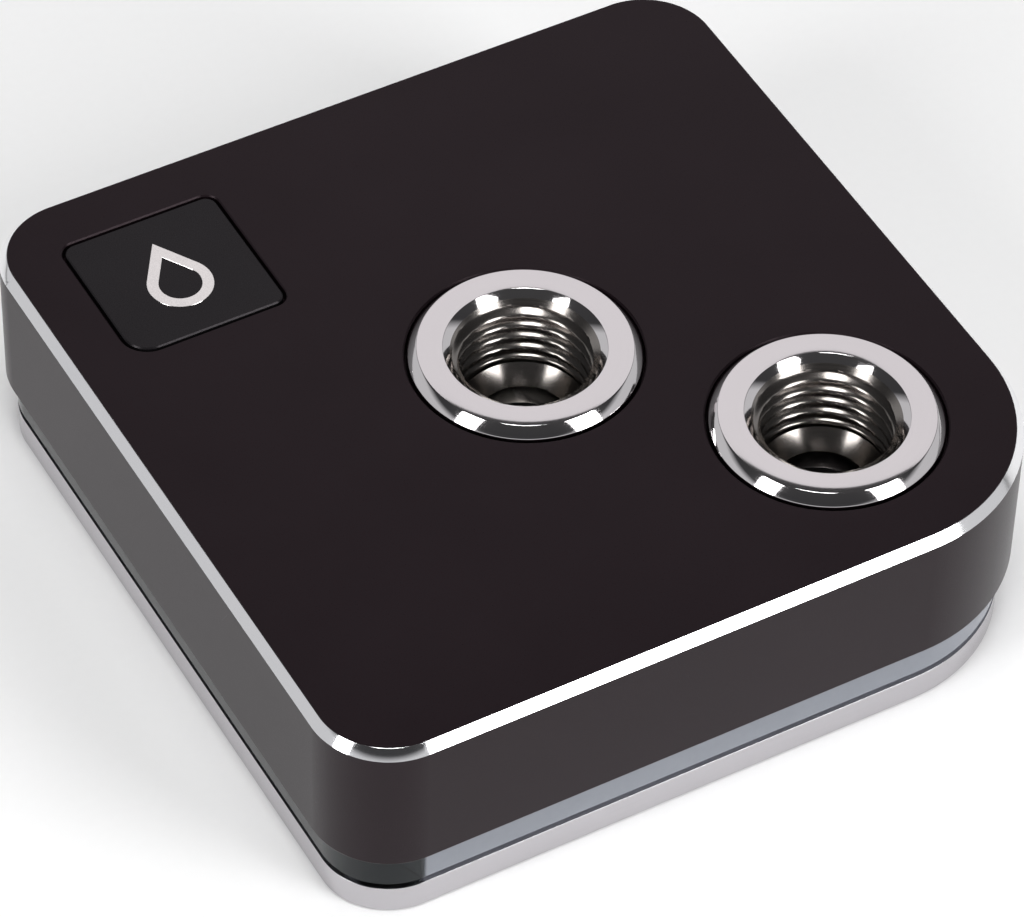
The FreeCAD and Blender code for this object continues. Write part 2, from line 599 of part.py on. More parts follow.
def make_base_plate():
    """Cold plate: flat below, with a raised field of fins and countersunk screw holes."""
    body = new_body("base_plate")
    outline = new_sketch(body, "plate_outline", "0")
    add_block_outline(outline, "Sizes.rim_inset")
    pad(body, "plate", outline, "Sizes.base_thick")
    rims = edges_at(body, "0", lambda edge: True) + edges_at(body, FRAME_LEVEL, lambda edge: True)
    chamfer(body, "plate_edges", rims, "Sizes.base_bevel")
    island = new_sketch(body, "island_outline", FRAME_LEVEL)
    add_centred(island, INLET, ISLAND_SIDE, ISLAND_SIDE, "Sizes.jet_corner")
    pad(body, "island", island, "Sizes.island_rise")
    cut_screw_holes(body, "plate_screw_holes", FRAME_LEVEL, "Sizes.base_thick", SCREW_HOLE)
    rounds = edges_at(body, "0", lambda edge: is_round(edge, SCREW_HOLE))
    sink = f"Sizes.screw_head_radius + Sizes.screw_head_gap + Sizes.screw_sink - {SCREW_HOLE}"
    chamfer(body, "countersinks", rounds, sink)
    channel = new_sketch(body, "channel_outline", FINS_LEVEL)
    half = f"{ISLAND_SIDE} / 2"
    low = f"{INLET[1]} - (Sizes.channel_count - 1) * Sizes.channel_pitch / 2 - Sizes.channel_width / 2"
    high = f"{low} + Sizes.channel_width"
    left = f"{INLET[0]} - {half}"
    right = f"{INLET[0]} + {half}"
    add_polygon(channel, [(left, low), (right, low), (right, high), (left, high)])
    first = pocket(body, "first_channel", channel, "Sizes.channel_depth")
    channels = body.newObject("PartDesign::LinearPattern", "channels")
    channels.Originals = [first]
    channels.Direction = (channel, ["V_Axis"])
    channels.setExpression("Length", "(Sizes.channel_count - 1) * Sizes.channel_pitch")
    channels.setExpression("Occurrences", "Sizes.channel_count")
    body.Tip = channels
    doc.recompute()
    return body


def make_base_screws():
    """Countersunk screws that clamp base plate and frame to the cover, one solid each."""
    screw = new_body("base_screw")
    rim = "Sizes.screw_sink"
    cone = f"({rim} + Sizes.screw_head_radius - Sizes.screw_radius)"
    profile = new_sketch(screw, "screw_profile", plane="XZ_Plane")
    add_polygon(profile, [
        ("0", rim),
        ("Sizes.screw_head_radius", rim),
        ("Sizes.screw_radius", cone),
        ("Sizes.screw_radius", SCREW_TIP),
        ("0", SCREW_TIP),
    ])
    turn(screw, "screw_turned", profile)
    flats = new_sketch(screw, "socket_outline", f"{rim} + Sizes.socket_depth")
    flat = "Sizes.socket_width / 2"
    point = f"{flat} / cos(30)"
    half_point = f"{point} / 2"
    add_polygon(flats, [
        (point, "0"), (half_point, flat), (f"-{half_point}", flat),
        (f"-{point}", "0"), (f"-{half_point}", f"-{flat}"), (half_point, f"-{flat}"),
    ])
    pocket(screw, "socket", flats, "Sizes.socket_depth")
    copies = []
    for index, (x, y) in enumerate(SCREWS, start=1):
        copy = doc.addObject("App::Link", f"screw_{index}")
        copy.LinkedObject = screw
        copies.append(move(copy, x, y, "0"))
    group = doc.addObject("Part::Compound", "base_screws")
    group.Label = "base_screws"
    group.Links = copies
    doc.recompute()
    return group


def check(pieces):
    """Stops on a failed object, or on a piece without a whole and valid shape."""
    for item in doc.Objects:
        if "Invalid" in item.State or "Error" in item.State:
            raise RuntimeError(f"{item.Name} failed: {item.State}")
    for piece in pieces:
        if piece.Shape.isNull() or not piece.Shape.isValid() or not piece.Shape.Solids:
            raise RuntimeError(f"{piece.Label} has no valid solid")


doc = FreeCAD.newDocument("cold_plate")
sizes = write_sheet()
nodes = [
    make_top_cover(),
    make_badge_tile(),
    make_badge_inlay(),
    make_badge_film(),
    make_collar("inlet_collar", INLET),
    make_collar("outlet_collar", OUTLET),
    make_collar_seal("inlet_collar_seal", INLET),
    make_collar_seal("outlet_collar_seal", OUTLET),
    make_flow_body(),
    make_main_seal(),
    make_nozzle_gasket(),
    make_jet_plate(),
    make_spacer_frame(),
    make_base_plate(),
    make_base_screws(),
]
doc.recompute()
check(nodes)
os.makedirs("parts", exist_ok=True)
for node in nodes:
    node.Shape.exportStep(f"parts/{node.Label}.step")
    print(node.Label, len(node.Shape.Solids), round(node.Shape.Volume, 3))
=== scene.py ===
"""Looks of a liquid cooling cold plate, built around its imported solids.

Lengths are in millimetres while a piece is drawn, and become metres as its mesh is made. +Z points away
from the cold face, -Y is the front side, and the row's solids are the frame that every piece follows.
"""

import logging
import math
from dataclasses import dataclass, replace
from enum import Enum
from typing import Any, Sequence

import bmesh
import bpy
from mathutils import Matrix, Vector
from mathutils.geometry import delaunay_2d_cdt


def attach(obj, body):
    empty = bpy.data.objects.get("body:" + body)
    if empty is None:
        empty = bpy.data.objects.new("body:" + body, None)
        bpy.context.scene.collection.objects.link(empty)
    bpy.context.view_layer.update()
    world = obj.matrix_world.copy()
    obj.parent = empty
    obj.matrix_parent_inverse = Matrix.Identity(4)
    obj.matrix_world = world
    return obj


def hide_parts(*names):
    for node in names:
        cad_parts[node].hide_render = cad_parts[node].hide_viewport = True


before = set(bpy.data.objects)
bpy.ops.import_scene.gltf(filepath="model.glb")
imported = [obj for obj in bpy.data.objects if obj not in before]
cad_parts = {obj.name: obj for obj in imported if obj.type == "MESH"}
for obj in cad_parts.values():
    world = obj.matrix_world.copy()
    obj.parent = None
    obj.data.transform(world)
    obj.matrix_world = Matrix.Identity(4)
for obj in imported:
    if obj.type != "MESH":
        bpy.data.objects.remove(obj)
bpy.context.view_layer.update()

MM = 0.001
ROOT = "root"
CIRCLE = 2 * math.pi
# Bends sharper than this stay sharp
SMOOTH_ANGLE = math.radians(35)
# Vertices nearer than this, in metres, become one
WELD = 2e-7
# Points of a flat face nearer than this, in millimetres, count as one
SAME_POINT = 1e-7
# Length of the flat run that leads into a profile, which is cut off again
LEAD = 3.0
# Level of a cone that a thread never meets
NO_CONE = 1e3

Point = tuple[float, float]
Colour = tuple[float, float, float]
Ring = list[bmesh.types.BMVert]
Socket = bpy.types.NodeSocket
Material = bpy.types.Material

log = logging.getLogger("cold_plate")


class Pattern(Enum):
    """How the fine marks of a finish run."""

    GRAIN = "grain"
    ALONG_X = "along x"
    ALONG_Y = "along y"
    TURNED = "turned"


class Port(Enum):
    """The two coolant ports, by the start of their nodes' names."""

    INLET = "inlet"
    OUTLET = "outlet"


def towards(azimuth: float, elevation: float) -> Vector:
    """Unit vector away from the part.

    Args:
        azimuth: Degrees from -Y towards +X.
        elevation: Degrees above the floor.

    Returns:
        The vector.
    """
    turn, rise = math.radians(azimuth), math.radians(elevation)
    return Vector((math.sin(turn) * math.cos(rise), -math.cos(turn) * math.cos(rise), math.sin(rise)))


def linked(name: str, data: bpy.types.ID) -> bpy.types.Object:
    """New object in the scene.

    Args:
        name: Its name.
        data: Its mesh, light or camera.

    Returns:
        The object at the origin.
    """
    item = bpy.data.objects.new(name, data)
    bpy.context.scene.collection.objects.link(item)
    return item


def arc(centre: Point, radius: float, start: float, end: float, steps: int) -> list[Point]:
    """Points along an arc, both ends included.

    Args:
        centre: Middle of the arc.
        radius: Radius of the arc.
        start: First angle, in radians.
        end: Last angle, in radians.
        steps: Number of divisions.

    Returns:
        The points in order.
    """
    angles = [start + (end - start) * index / steps for index in range(steps + 1)]
    return [(centre[0] + radius * math.cos(a), centre[1] + radius * math.sin(a)) for a in angles]


def circle(centre: Point, radius: float, steps: int) -> list[Point]:
    """Points round a circle, each once.

    Args:
        centre: Middle of the circle.
        radius: Radius of the circle.
        steps: Number of points.

    Returns:
        The points, anticlockwise from +X.
    """
    return arc(centre, radius, 0.0, CIRCLE, steps)[:-1]


def rounded(middle: Point, half: float, radii: Sequence[float], steps: int) -> list[Point]:
    """Rounded square.

    Args:
        middle: Its middle.
        half: Half of its side.
        radii: Radii of the corners front right, back right, back left and front left.
        steps: Divisions of each corner.

    Returns:
        The points, anticlockwise from the front right corner.
    """
    corners = ((1, -1), (1, 1), (-1, 1), (-1, -1))
    points: list[Point] = []
    for index, ((x, y), radius) in enumerate(zip(corners, radii)):
        hub = (middle[0] + x * (half - radius), middle[1] + y * (half - radius))
        start = (index - 1) * math.pi / 2
        points += arc(hub, radius, start, start + math.pi / 2, steps)
    return points


def soften(points: Sequence[Point], radii: Sequence[float], steps: int = 3) -> list[Point]:
    """Rounds the inner corners of a profile.

    Args:
        points: Corners of the profile, with both ends.
        radii: One radius for each inner corner.
        steps: Divisions of each rounding.

    Returns:
        The profile with its ends and with arcs for its corners.
    """
    path = [points[0]]
    for before, corner, after, radius in zip(points, points[1:], points[2:], radii):
        here = Vector(corner)
        back = (Vector(before) - here).normalized()
        on = (Vector(after) - here).normalized()
        half = back.angle(on) / 2
        reach = radius / math.tan(half)
        middle = here + (back + on).normalized() * (radius / math.sin(half))
        first = here + back * reach - middle
        sweep = first.angle_signed(here + on * reach - middle)
        for step in range(steps + 1):
            turned = Matrix.Rotation(-sweep * step / steps, 2) @ first
            path.append(tuple(middle + turned))
    path.append(points[-1])
    return path


def inside(point: Point, loops: Sequence[Sequence[Point]]) -> bool:
    """True where a point lies in an odd number of loops.

    Args:
        point: The point.
        loops: Closed loops of points.

    Returns:
        Whether the point lies on the filled side.
    """
    x, y = point
    odd = False
    for loop in loops:
        for (x0, y0), (x1, y1) in zip(loop, list(loop[1:]) + [loop[0]]):
            if (y0 > y) != (y1 > y) and x < x0 + (y - y0) * (x1 - x0) / (y1 - y0):
                odd = not odd
    return odd


class Shell:
    """A mesh that is built ring by ring, in millimetres."""

    def __init__(self, start: bpy.types.Mesh | None = None) -> None:
        """Starts a shell.

        Args:
            start: Mesh in metres that it takes over.
        """
        self.mesh = bmesh.new()
        if start is not None:
            self.mesh.from_mesh(start)
            bpy.data.meshes.remove(start)

    def ring(self, points: Sequence[Point], level: float) -> Ring:
        """Closed ring of vertices at one level.

        Args:
            points: Its points in X and Y.
            level: Its Z.

        Returns:
            The new vertices.
        """
        return [self.mesh.verts.new((x * MM, y * MM, level * MM)) for x, y in points]

    def wall(self, low: Ring, high: Ring, material: int = 0) -> None:
        """Faces between two rings of as many vertices.

        Args:
            low: First ring.
            high: Second ring.
            material: Index of the material slot.
        """
        count = len(low)
        for index in range(count):
            following = (index + 1) % count
            corners = (low[index], low[following], high[following], high[index])
            self.mesh.faces.new(corners).material_index = material

    def cap(self, outer: Ring, holes: Sequence[Ring] = ()) -> None:
        """Flat face of triangles with holes; a ring in a hole is filled again.

        Args:
            outer: The outer ring.
            holes: Rings inside it.
        """
        rings = [outer, *holes]
        loops = [[(vert.co.x / MM, vert.co.y / MM) for vert in ring] for ring in rings]
        verts = [vert for ring in rings for vert in ring]
        edges = []
        first = 0
        for ring in rings:
            count = len(ring)
            edges += [(first + index, first + (index + 1) % count) for index in range(count)]
            first += count
        flat = [Vector(point) for loop in loops for point in loop]
        places, _, faces, sources, _, _ = delaunay_2d_cdt(flat, edges, [], 0, SAME_POINT)
        for face in faces:
            middle = sum((places[index] for index in face), Vector((0.0, 0.0))) / len(face)
            if inside((middle.x, middle.y), loops):
                self.mesh.faces.new([verts[sources[index][0]] for index in face])

    def fan(self, ring: Ring) -> None:
        """Closes a ring with one face.

        Args:
            ring: The ring.
        """
        self.mesh.faces.new(ring)

    def stack(self, rings: Sequence[Ring]) -> None:
        """Walls between rings of as many vertices.

        Args:
            rings: The rings in order.
        """
        for low, high in zip(rings, rings[1:]):
            self.wall(low, high)

    def tube(self, centre: Point, profile: Sequence[Point], steps: int) -> list[Ring]:
        """Rings of a turned surface.

        Args:
            centre: Its axis in X and Y.
            profile: Pairs of radius and level.
            steps: Vertices round each ring.

        Returns:
            One ring for each pair, with walls between them.
        """
        rings = [self.ring(circle(centre, radius, steps), level) for radius, level in profile]
        self.stack(rings)
        return rings

    def finish(self, name: str, *materials: Material, crisp: bool = True) -> bpy.types.Object:
        """Turns the shell into an object with even shading.

        Args:
            name: Name of the piece.
            materials: Its materials, in the order of its slots.
            crisp: Whether flat faces keep their own normals up to a bend.

        Returns:
            The new object at the origin.
        """
        bmesh.ops.remove_doubles(self.mesh, verts=self.mesh.verts, dist=WELD)
        bmesh.ops.recalc_face_normals(self.mesh, faces=self.mesh.faces)
        data = bpy.data.meshes.new(name)
        self.mesh.to_mesh(data)
        self.mesh.free()
        for material in materials:
            data.materials.append(material)
        return smoothed(name, data, crisp)


def smoothed(name: str, data: bpy.types.Mesh, crisp: bool = False) -> bpy.types.Object:
    """Object for a finished mesh, with smooth shading that keeps its sharp bends.

    Args:
        name: Name of the piece.
        data: The mesh, in metres, with its materials.
        crisp: Whether normals are weighted by the faces' areas.

    Returns:
        The new object at the origin.
    """
    data.shade_smooth()
    data.set_sharp_from_angle(angle=SMOOTH_ANGLE)
    piece = linked(name, data)
    if crisp:
        weighted = piece.modifiers.new("even_faces", "WEIGHTED_NORMAL")
        weighted.mode = "FACE_AREA"
        weighted.keep_sharp = True
    return piece


def place(piece: bpy.types.Object, slot: str, *nodes: str) -> None:
    """Puts a piece on the part and lets it stand for nodes of the solids.

    Args:
        piece: The finished piece.
        slot: The record's material slot.
        nodes: The nodes that it stands for.
    """
    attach(piece, ROOT)
    if nodes:
        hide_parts(*nodes)
    stands_for = ", ".join(nodes) or "nothing"
    log.info("piece %s: slot %s, %d faces, for %s", piece.name, slot, len(piece.data.polygons), stands_for)


def dress_node(node: str, material: Material) -> None:
    """Gives a node of the solids a finish.

    Args:
        node: Name of the node.
        material: Its material.
    """
    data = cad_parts[node].data
    data.materials.clear()
    data.materials.append(material)
    log.info("node %s: finish %s", node, material.name)


class Graph:
    """Adds nodes to a tree, with their inputs set or linked."""

    def __init__(self, tree: bpy.types.NodeTree) -> None:
        """Works on a tree.

        Args:
            tree: The tree.
        """
        self.tree = tree

    def add(self, kind: str, inputs: dict[Any, Any] | None = None, **settings: Any) -> bpy.types.Node:
        """New node.

        Args:
            kind: Blender's name of the node type.
            inputs: Values or sockets for its inputs, by name or number.
            settings: Properties of the node.

        Returns:
            The node.
        """
        node = self.tree.nodes.new(kind)
        for key, value in settings.items():
            setattr(node, key, value)
        self.feed(node, inputs or {})
        return node

    def feed(self, node: bpy.types.Node, inputs: dict[Any, Any]) -> None:
        """Sets or links a node's inputs.

        Args:
            node: The node.
            inputs: Values or sockets for its inputs, by name or number.
        """
        for key, value in inputs.items():
            if isinstance(value, Socket):
                self.tree.links.new(value, node.inputs[key])
            else:
                node.inputs[key].default_value = value

    def math(self, operation: str, first: Any, second: Any = 0.0) -> Socket:
        """Output of a math node.

        Args:
            operation: Name of the operation.
            first: Value or socket.
            second: Value or socket.

        Returns:
            The output socket.
        """
        return self.add("ShaderNodeMath", {0: first, 1: second}, operation=operation).outputs[0]

    def mix(self, share: Any, first: Any, second: Any) -> Socket:
        """Blend of two colours.

        Args:
            share: Share of the second colour.
            first: Colour or socket.
            second: Colour or socket.

        Returns:
            The output socket.
        """
        return self.add("ShaderNodeMix", {0: share, 6: first, 7: second}, data_type="RGBA").outputs[2]

    def span(self, value: Any, start: Any, end: Any, low: float = 0.0, high: float = 1.0,
             shape: str = "LINEAR") -> Socket:
        """Maps one range to another and holds it at both ends.

        Args:
            value: Value or socket.
            start: Where the first range starts.
            end: Where the first range ends.
            low: Result at the start.
            high: Result at the end.
            shape: How the result runs between them.

        Returns:
            The output socket.
        """
        return self.add("ShaderNodeMapRange", {
            "Value": value, "From Min": start, "From Max": end, "To Min": low, "To Max": high,
        }, interpolation_type=shape).outputs[0]


@dataclass(frozen=True)
class Finish:
    """A surface finish: base colour with soft mottling, fine marks in the gloss and a fine relief."""

    name: str
    colour: Colour
    mottle: Colour
    metallic: float = 0.0
    gloss: Point = (0.3, 0.4)
    pattern: Pattern = Pattern.GRAIN
    centre: Point = (0.0, 0.0)
    mark_size: float = 0.15
    mottle_size: float = 14.0
    relief: float = 0.01
    specular: float = 0.5
    clarity: float = 0.0
    bend: float = 1.5
    tint: Colour = (1.0, 1.0, 1.0)
    stretch: float = 40.0
    broad_share: float = 0.65
    blend_range: Point = (0.3, 0.7)
    marks_range: Point = (0.25, 0.75)

    def at(self, port: Port, centre: Point) -> "Finish":
        """The same finish for one port, with its marks round the port's axis.

        Args:
            port: The port.
            centre: Its axis.

        Returns:
            The finish.
        """
        return replace(self, name=f"{port.value}_{self.name}", centre=centre)

    def clear_share(self, graph: Graph) -> Any:
        """How much of the light goes through the surface.

        Args:
            graph: The material's graph.

        Returns:
            A value or a socket.
        """
        return self.clarity

    def shade(self, graph: Graph, colour: Socket) -> Socket:
        """The base colour, which some finishes change from place to place.

        Args:
            graph: The material's graph.
            colour: The mottled colour.

        Returns:
            The colour to use.
        """
        return colour

    def coordinates(self, graph: Graph) -> Socket:
        """Vector along which the fine marks run.

        Args:
            graph: The material's graph.

        Returns:
            A vector in millimetres.
        """
        mapped = graph.add("ShaderNodeMapping", {
            "Vector": graph.add("ShaderNodeTexCoord").outputs["Object"],
            "Scale": (1 / MM, 1 / MM, 1 / MM),
            "Location": (-self.centre[0], -self.centre[1], 0.0),
        }).outputs[0]
        thin = 1 / self.stretch
        if self.pattern is Pattern.TURNED:
            x, y, z = graph.add("ShaderNodeSeparateXYZ", {0: mapped}).outputs
            flat = graph.add("ShaderNodeCombineXYZ", {0: x, 1: y}).outputs[0]
            radius = graph.add("ShaderNodeVectorMath", {0: flat}, operation="LENGTH").outputs["Value"]
            slow = graph.math("MULTIPLY", graph.math("ARCTAN2", y, x), thin)
            return graph.add("ShaderNodeCombineXYZ", {0: radius, 1: z, 2: slow}).outputs[0]
        scale = {Pattern.ALONG_X: (thin, 1.0, 1.0), Pattern.ALONG_Y: (1.0, thin, 1.0)}.get(self.pattern)
        if scale:
            return graph.add("ShaderNodeMapping", {"Vector": mapped, "Scale": scale}).outputs[0]
        return mapped

    def build(self) -> Material:
        """Node material of the finish.

        Returns:
            The material.
        """
        material = bpy.data.materials.new(self.name)
        material.use_nodes = True
        graph = Graph(material.node_tree)
        shader = material.node_tree.nodes["Principled BSDF"]
        marks_at = self.coordinates(graph)
        broad_at = graph.add("ShaderNodeTexCoord").outputs["Object"]
        broad = graph.add("ShaderNodeTexNoise", {
            "Vector": broad_at, "Scale": 1 / (self.mottle_size * MM), "Detail": 3.0, "Roughness": 0.55,
        }).outputs[0]
        marks = graph.add("ShaderNodeTexNoise", {
            "Vector": marks_at, "Scale": 1 / self.mark_size, "Detail": 2.0, "Roughness": 0.5,
        }).outputs[0]
        broad_part = graph.math("MULTIPLY", broad, self.broad_share)
        fine_part = graph.math("MULTIPLY", marks, 1 - self.broad_share)
        spread = graph.span(graph.math("ADD", broad_part, fine_part), *self.blend_range)
        colour = graph.mix(spread, (*self.colour, 1.0), (*self.mottle, 1.0))
        if self.relief:
            relief = {"Height": marks, "Strength": 1.0, "Distance": self.relief * MM}
            graph.feed(shader, {"Normal": graph.add("ShaderNodeBump", relief).outputs[0]})
        graph.feed(shader, {
            "Base Color": self.shade(graph, colour),
            "Roughness": graph.span(marks, *self.marks_range, *self.gloss),
            "Metallic": self.metallic,
            "Specular IOR Level": self.specular,
            "Specular Tint": (*self.tint, 1.0),
            "Transmission Weight": self.clear_share(graph),
            "IOR": self.bend,
        })
        return material


@dataclass(frozen=True)
class PaintedLightAcrylic(Finish):
    """Clear plastic whose front and right sides get a lighter, matte colour as painted light, standing in
    for light carried through the frame, and whose other corners stay clear with a darker smoky colour,
    partly the plastic's own tint and partly painted shade.
    """

    reach: float = 28.7
    blur: float = 0.3
    # Share of light that goes through on the sides with painted light
    lit_sides_clarity: float = 0.4
    # Smoky colour of the clear corners: partly the plastic's own tint, partly painted shade
    smoky_shade: Colour = (0.05, 0.065, 0.08)

    def shade_painted_zone(self, graph: Graph) -> Socket:
        """One in the clear corners, where the smoky painted shade goes, and zero on the sides with painted
        light.

        Args:
            graph: The material's graph.

        Returns:
            The mask.
        """
        place_at = graph.add("ShaderNodeTexCoord").outputs["Object"]
        x, y, _ = graph.add("ShaderNodeSeparateXYZ", {0: place_at}).outputs
        start, end = -self.reach - self.blur, -self.reach + self.blur
        left, back = (
            graph.span(graph.math("MULTIPLY", place, sign / MM), start, end, 1.0, 0.0, "SMOOTHSTEP")
            for place, sign in ((x, 1), (y, -1)))
        return graph.math("MAXIMUM", left, back)

    def clear_share(self, graph: Graph) -> Any:
        """How much of the light goes through: less on the sides with painted light.

        Args:
            graph: The material's graph.

        Returns:
            A socket.
        """
        return graph.span(self.shade_painted_zone(graph), 0.0, 1.0, self.lit_sides_clarity, self.clarity)

    def shade(self, graph: Graph, colour: Socket) -> Socket:
        """The base colour: smoky in the clear corners, partly the plastic's own tint and partly painted
        shade.

        Args:
            graph: The material's graph.
            colour: The mottled colour.

        Returns:
            The colour to use.
        """
        return graph.mix(self.shade_painted_zone(graph), colour, (*self.smoky_shade, 1.0))


@dataclass(frozen=True)
class Finishes:
    """All finishes of the part, by the place where they are used."""

    anodised: Finish = Finish(
        "anodised_satin", (0.0062, 0.0036, 0.0048), (0.0088, 0.0055, 0.0070),
        gloss=(0.26, 0.36), mark_size=0.10, relief=0.0035,
        specular=0.2, tint=(1.0, 0.79, 0.87))
    badge: Finish = Finish(
        "anodised_badge", (0.0060, 0.0054, 0.0062), (0.0090, 0.0080, 0.0090),
        gloss=(0.22, 0.32), mark_size=0.09, relief=0.003, specular=0.2, tint=(1.0, 0.92, 0.98))
    cut_edge: Finish = Finish(
        "cut_edge", (0.90, 0.90, 0.91), (0.84, 0.84, 0.86), metallic=1.0,
        gloss=(0.05, 0.12), mark_size=0.08, relief=0.0004)
    nickel: Finish = Finish(
        "nickel_plate", (0.54, 0.525, 0.545), (0.50, 0.485, 0.505), metallic=1.0,
        gloss=(0.14, 0.24), pattern=Pattern.ALONG_X, mark_size=0.12, relief=0.0006)
    # Its bluish-grey colour on the front and right sides is painted light; the clear corners take a smoky
    # painted shade
    acrylic: PaintedLightAcrylic = PaintedLightAcrylic(
        "part_frosted_acrylic", (0.40, 0.42, 0.47), (0.37, 0.39, 0.44),
        gloss=(0.02, 0.05), mark_size=0.6, relief=0.0002, clarity=1.0, bend=1.49,
        specular=0.2, tint=(0.50, 0.56, 0.60))
    inlay: Finish = Finish(
        "satin_inlay", (0.95, 0.925, 0.91), (0.90, 0.875, 0.86), metallic=1.0,
        gloss=(0.16, 0.24), mark_size=0.10, relief=0.0006)
    screw: Finish = Finish(
        "screw_steel", (0.50, 0.50, 0.51), (0.44, 0.44, 0.45), metallic=1.0,
        gloss=(0.22, 0.34), mark_size=0.10, relief=0.001)
    acetal: Finish = Finish(
        "black_acetal", (0.010, 0.0095, 0.0095), (0.014, 0.0135, 0.0135),
        gloss=(0.65, 0.78), mark_size=0.12, relief=0.002, specular=0.06)
    rubber: Finish = Finish(
        "seal_rubber", (0.014, 0.014, 0.014), (0.020, 0.020, 0.020),
        gloss=(0.55, 0.7), mark_size=0.08, relief=0.004, specular=0.35)
    sheet: Finish = Finish(
        "stainless_sheet", (0.58, 0.57, 0.55), (0.52, 0.51, 0.50), metallic=1.0,
        gloss=(0.22, 0.36), pattern=Pattern.ALONG_Y, mark_size=0.06, relief=0.001)
    film: Finish = Finish(
        "adhesive_film", (0.60, 0.59, 0.56), (0.54, 0.53, 0.50),
        gloss=(0.45, 0.6), mark_size=0.3, relief=0.003)
    chrome: Finish = Finish(
        "chrome", (0.76, 0.735, 0.745), (0.73, 0.705, 0.715), metallic=1.0,
        gloss=(0.04, 0.09), pattern=Pattern.TURNED, mark_size=0.05, relief=0.0001)
    # Rougher chrome of the thread and bore; its darker colour is painted shade in the bore
    bore_chrome: Finish = Finish(
        "bore_chrome", (0.30, 0.28, 0.265), (0.26, 0.24, 0.225), metallic=1.0,
        gloss=(0.15, 0.21), pattern=Pattern.TURNED, mark_size=0.05, relief=0.0003)


@dataclass(frozen=True)
class Block:
    """Sizes that several pieces share."""

    side: float = 72.0
    corner: float = 7.2
    port_corner: float = 16.2
    base_top: float = 3.0
    frame_top: float = 7.3
    top: float = 21.4
    roof: float = 17.4
    rim_inset: float = 0.9
    flow_half: float = 27.5
    flow_corner: float = 8.0
    flow_port_corner: float = 7.7
    flow_play: float = 0.15
    lobe: float = 10.1
    inlet: Point = (-0.2, -0.5)
    outlet: Point = (18.9, -19.6)
    seat_radius: float = 10.52
    neck_radius: float = 8.05
    screw_side: float = 30.5
    screw_corner: float = 28.5
    corner_steps: int = 28
    hole_steps: int = 32

    def outline(self, inset: float) -> list[Point]:
        """The block's outline, drawn in by an inset.

        Args:
            inset: How far it is drawn in.

        Returns:
            Its points.
        """
        half = self.side / 2 - inset
        radii = [self.port_corner - inset] + [self.corner - inset] * 3
        return rounded((0.0, 0.0), half, radii, self.corner_steps)

    def flow_hole(self) -> list[Point]:
        """The hole for the flow body, with the lobe round the outlet.

        Returns:
            Its points, anticlockwise.
        """
        radii = [self.flow_port_corner + self.flow_play] + [self.flow_corner + self.flow_play] * 3
        plain = rounded((0.0, 0.0), self.flow_half + self.flow_play, radii, self.corner_steps)
        reach = self.lobe + self.flow_play
        lobe = circle(self.outlet, reach, 4 * self.corner_steps)
        kept = [p for p in plain if math.dist(p, self.outlet) > reach]
        kept += [p for p in lobe if not inside(p, [plain])]
        return sorted(kept, key=lambda p: math.atan2(p[1], p[0]))

    def screw_places(self) -> list[Point]:
        """Places of the eight base screws.

        Returns:
            Their axes.
        """
        side, corner = self.screw_side, self.screw_corner
        return [(side, 0.0), (corner, corner), (0.0, side), (-corner, corner),
                (-side, 0.0), (-corner, -corner), (0.0, -side), (corner, -corner)]

    def port(self, port: Port) -> Point:
        """Axis of a port.

        Args:
            port: The port.

        Returns:
            Its X and Y.
        """
        return self.inlet if port is Port.INLET else self.outlet


@dataclass(frozen=True)
class BadgePlace:
    """The badge's outline, which cover and badge share."""

    middle: Point = (-22.7, 22.6)
    side: float = 15.4
    corner: float = 1.4
    front_corner: float = 2.6
    steps: int = 10

    def outline(self, inset: float) -> list[Point]:
        """Outline drawn in by an inset.

        Args:
            inset: How far it is drawn in.

        Returns:
            Its points.
        """
        radii = [self.corner - inset] * 3 + [self.front_corner - inset]
        return rounded(self.middle, self.side / 2 - inset, radii, self.steps)


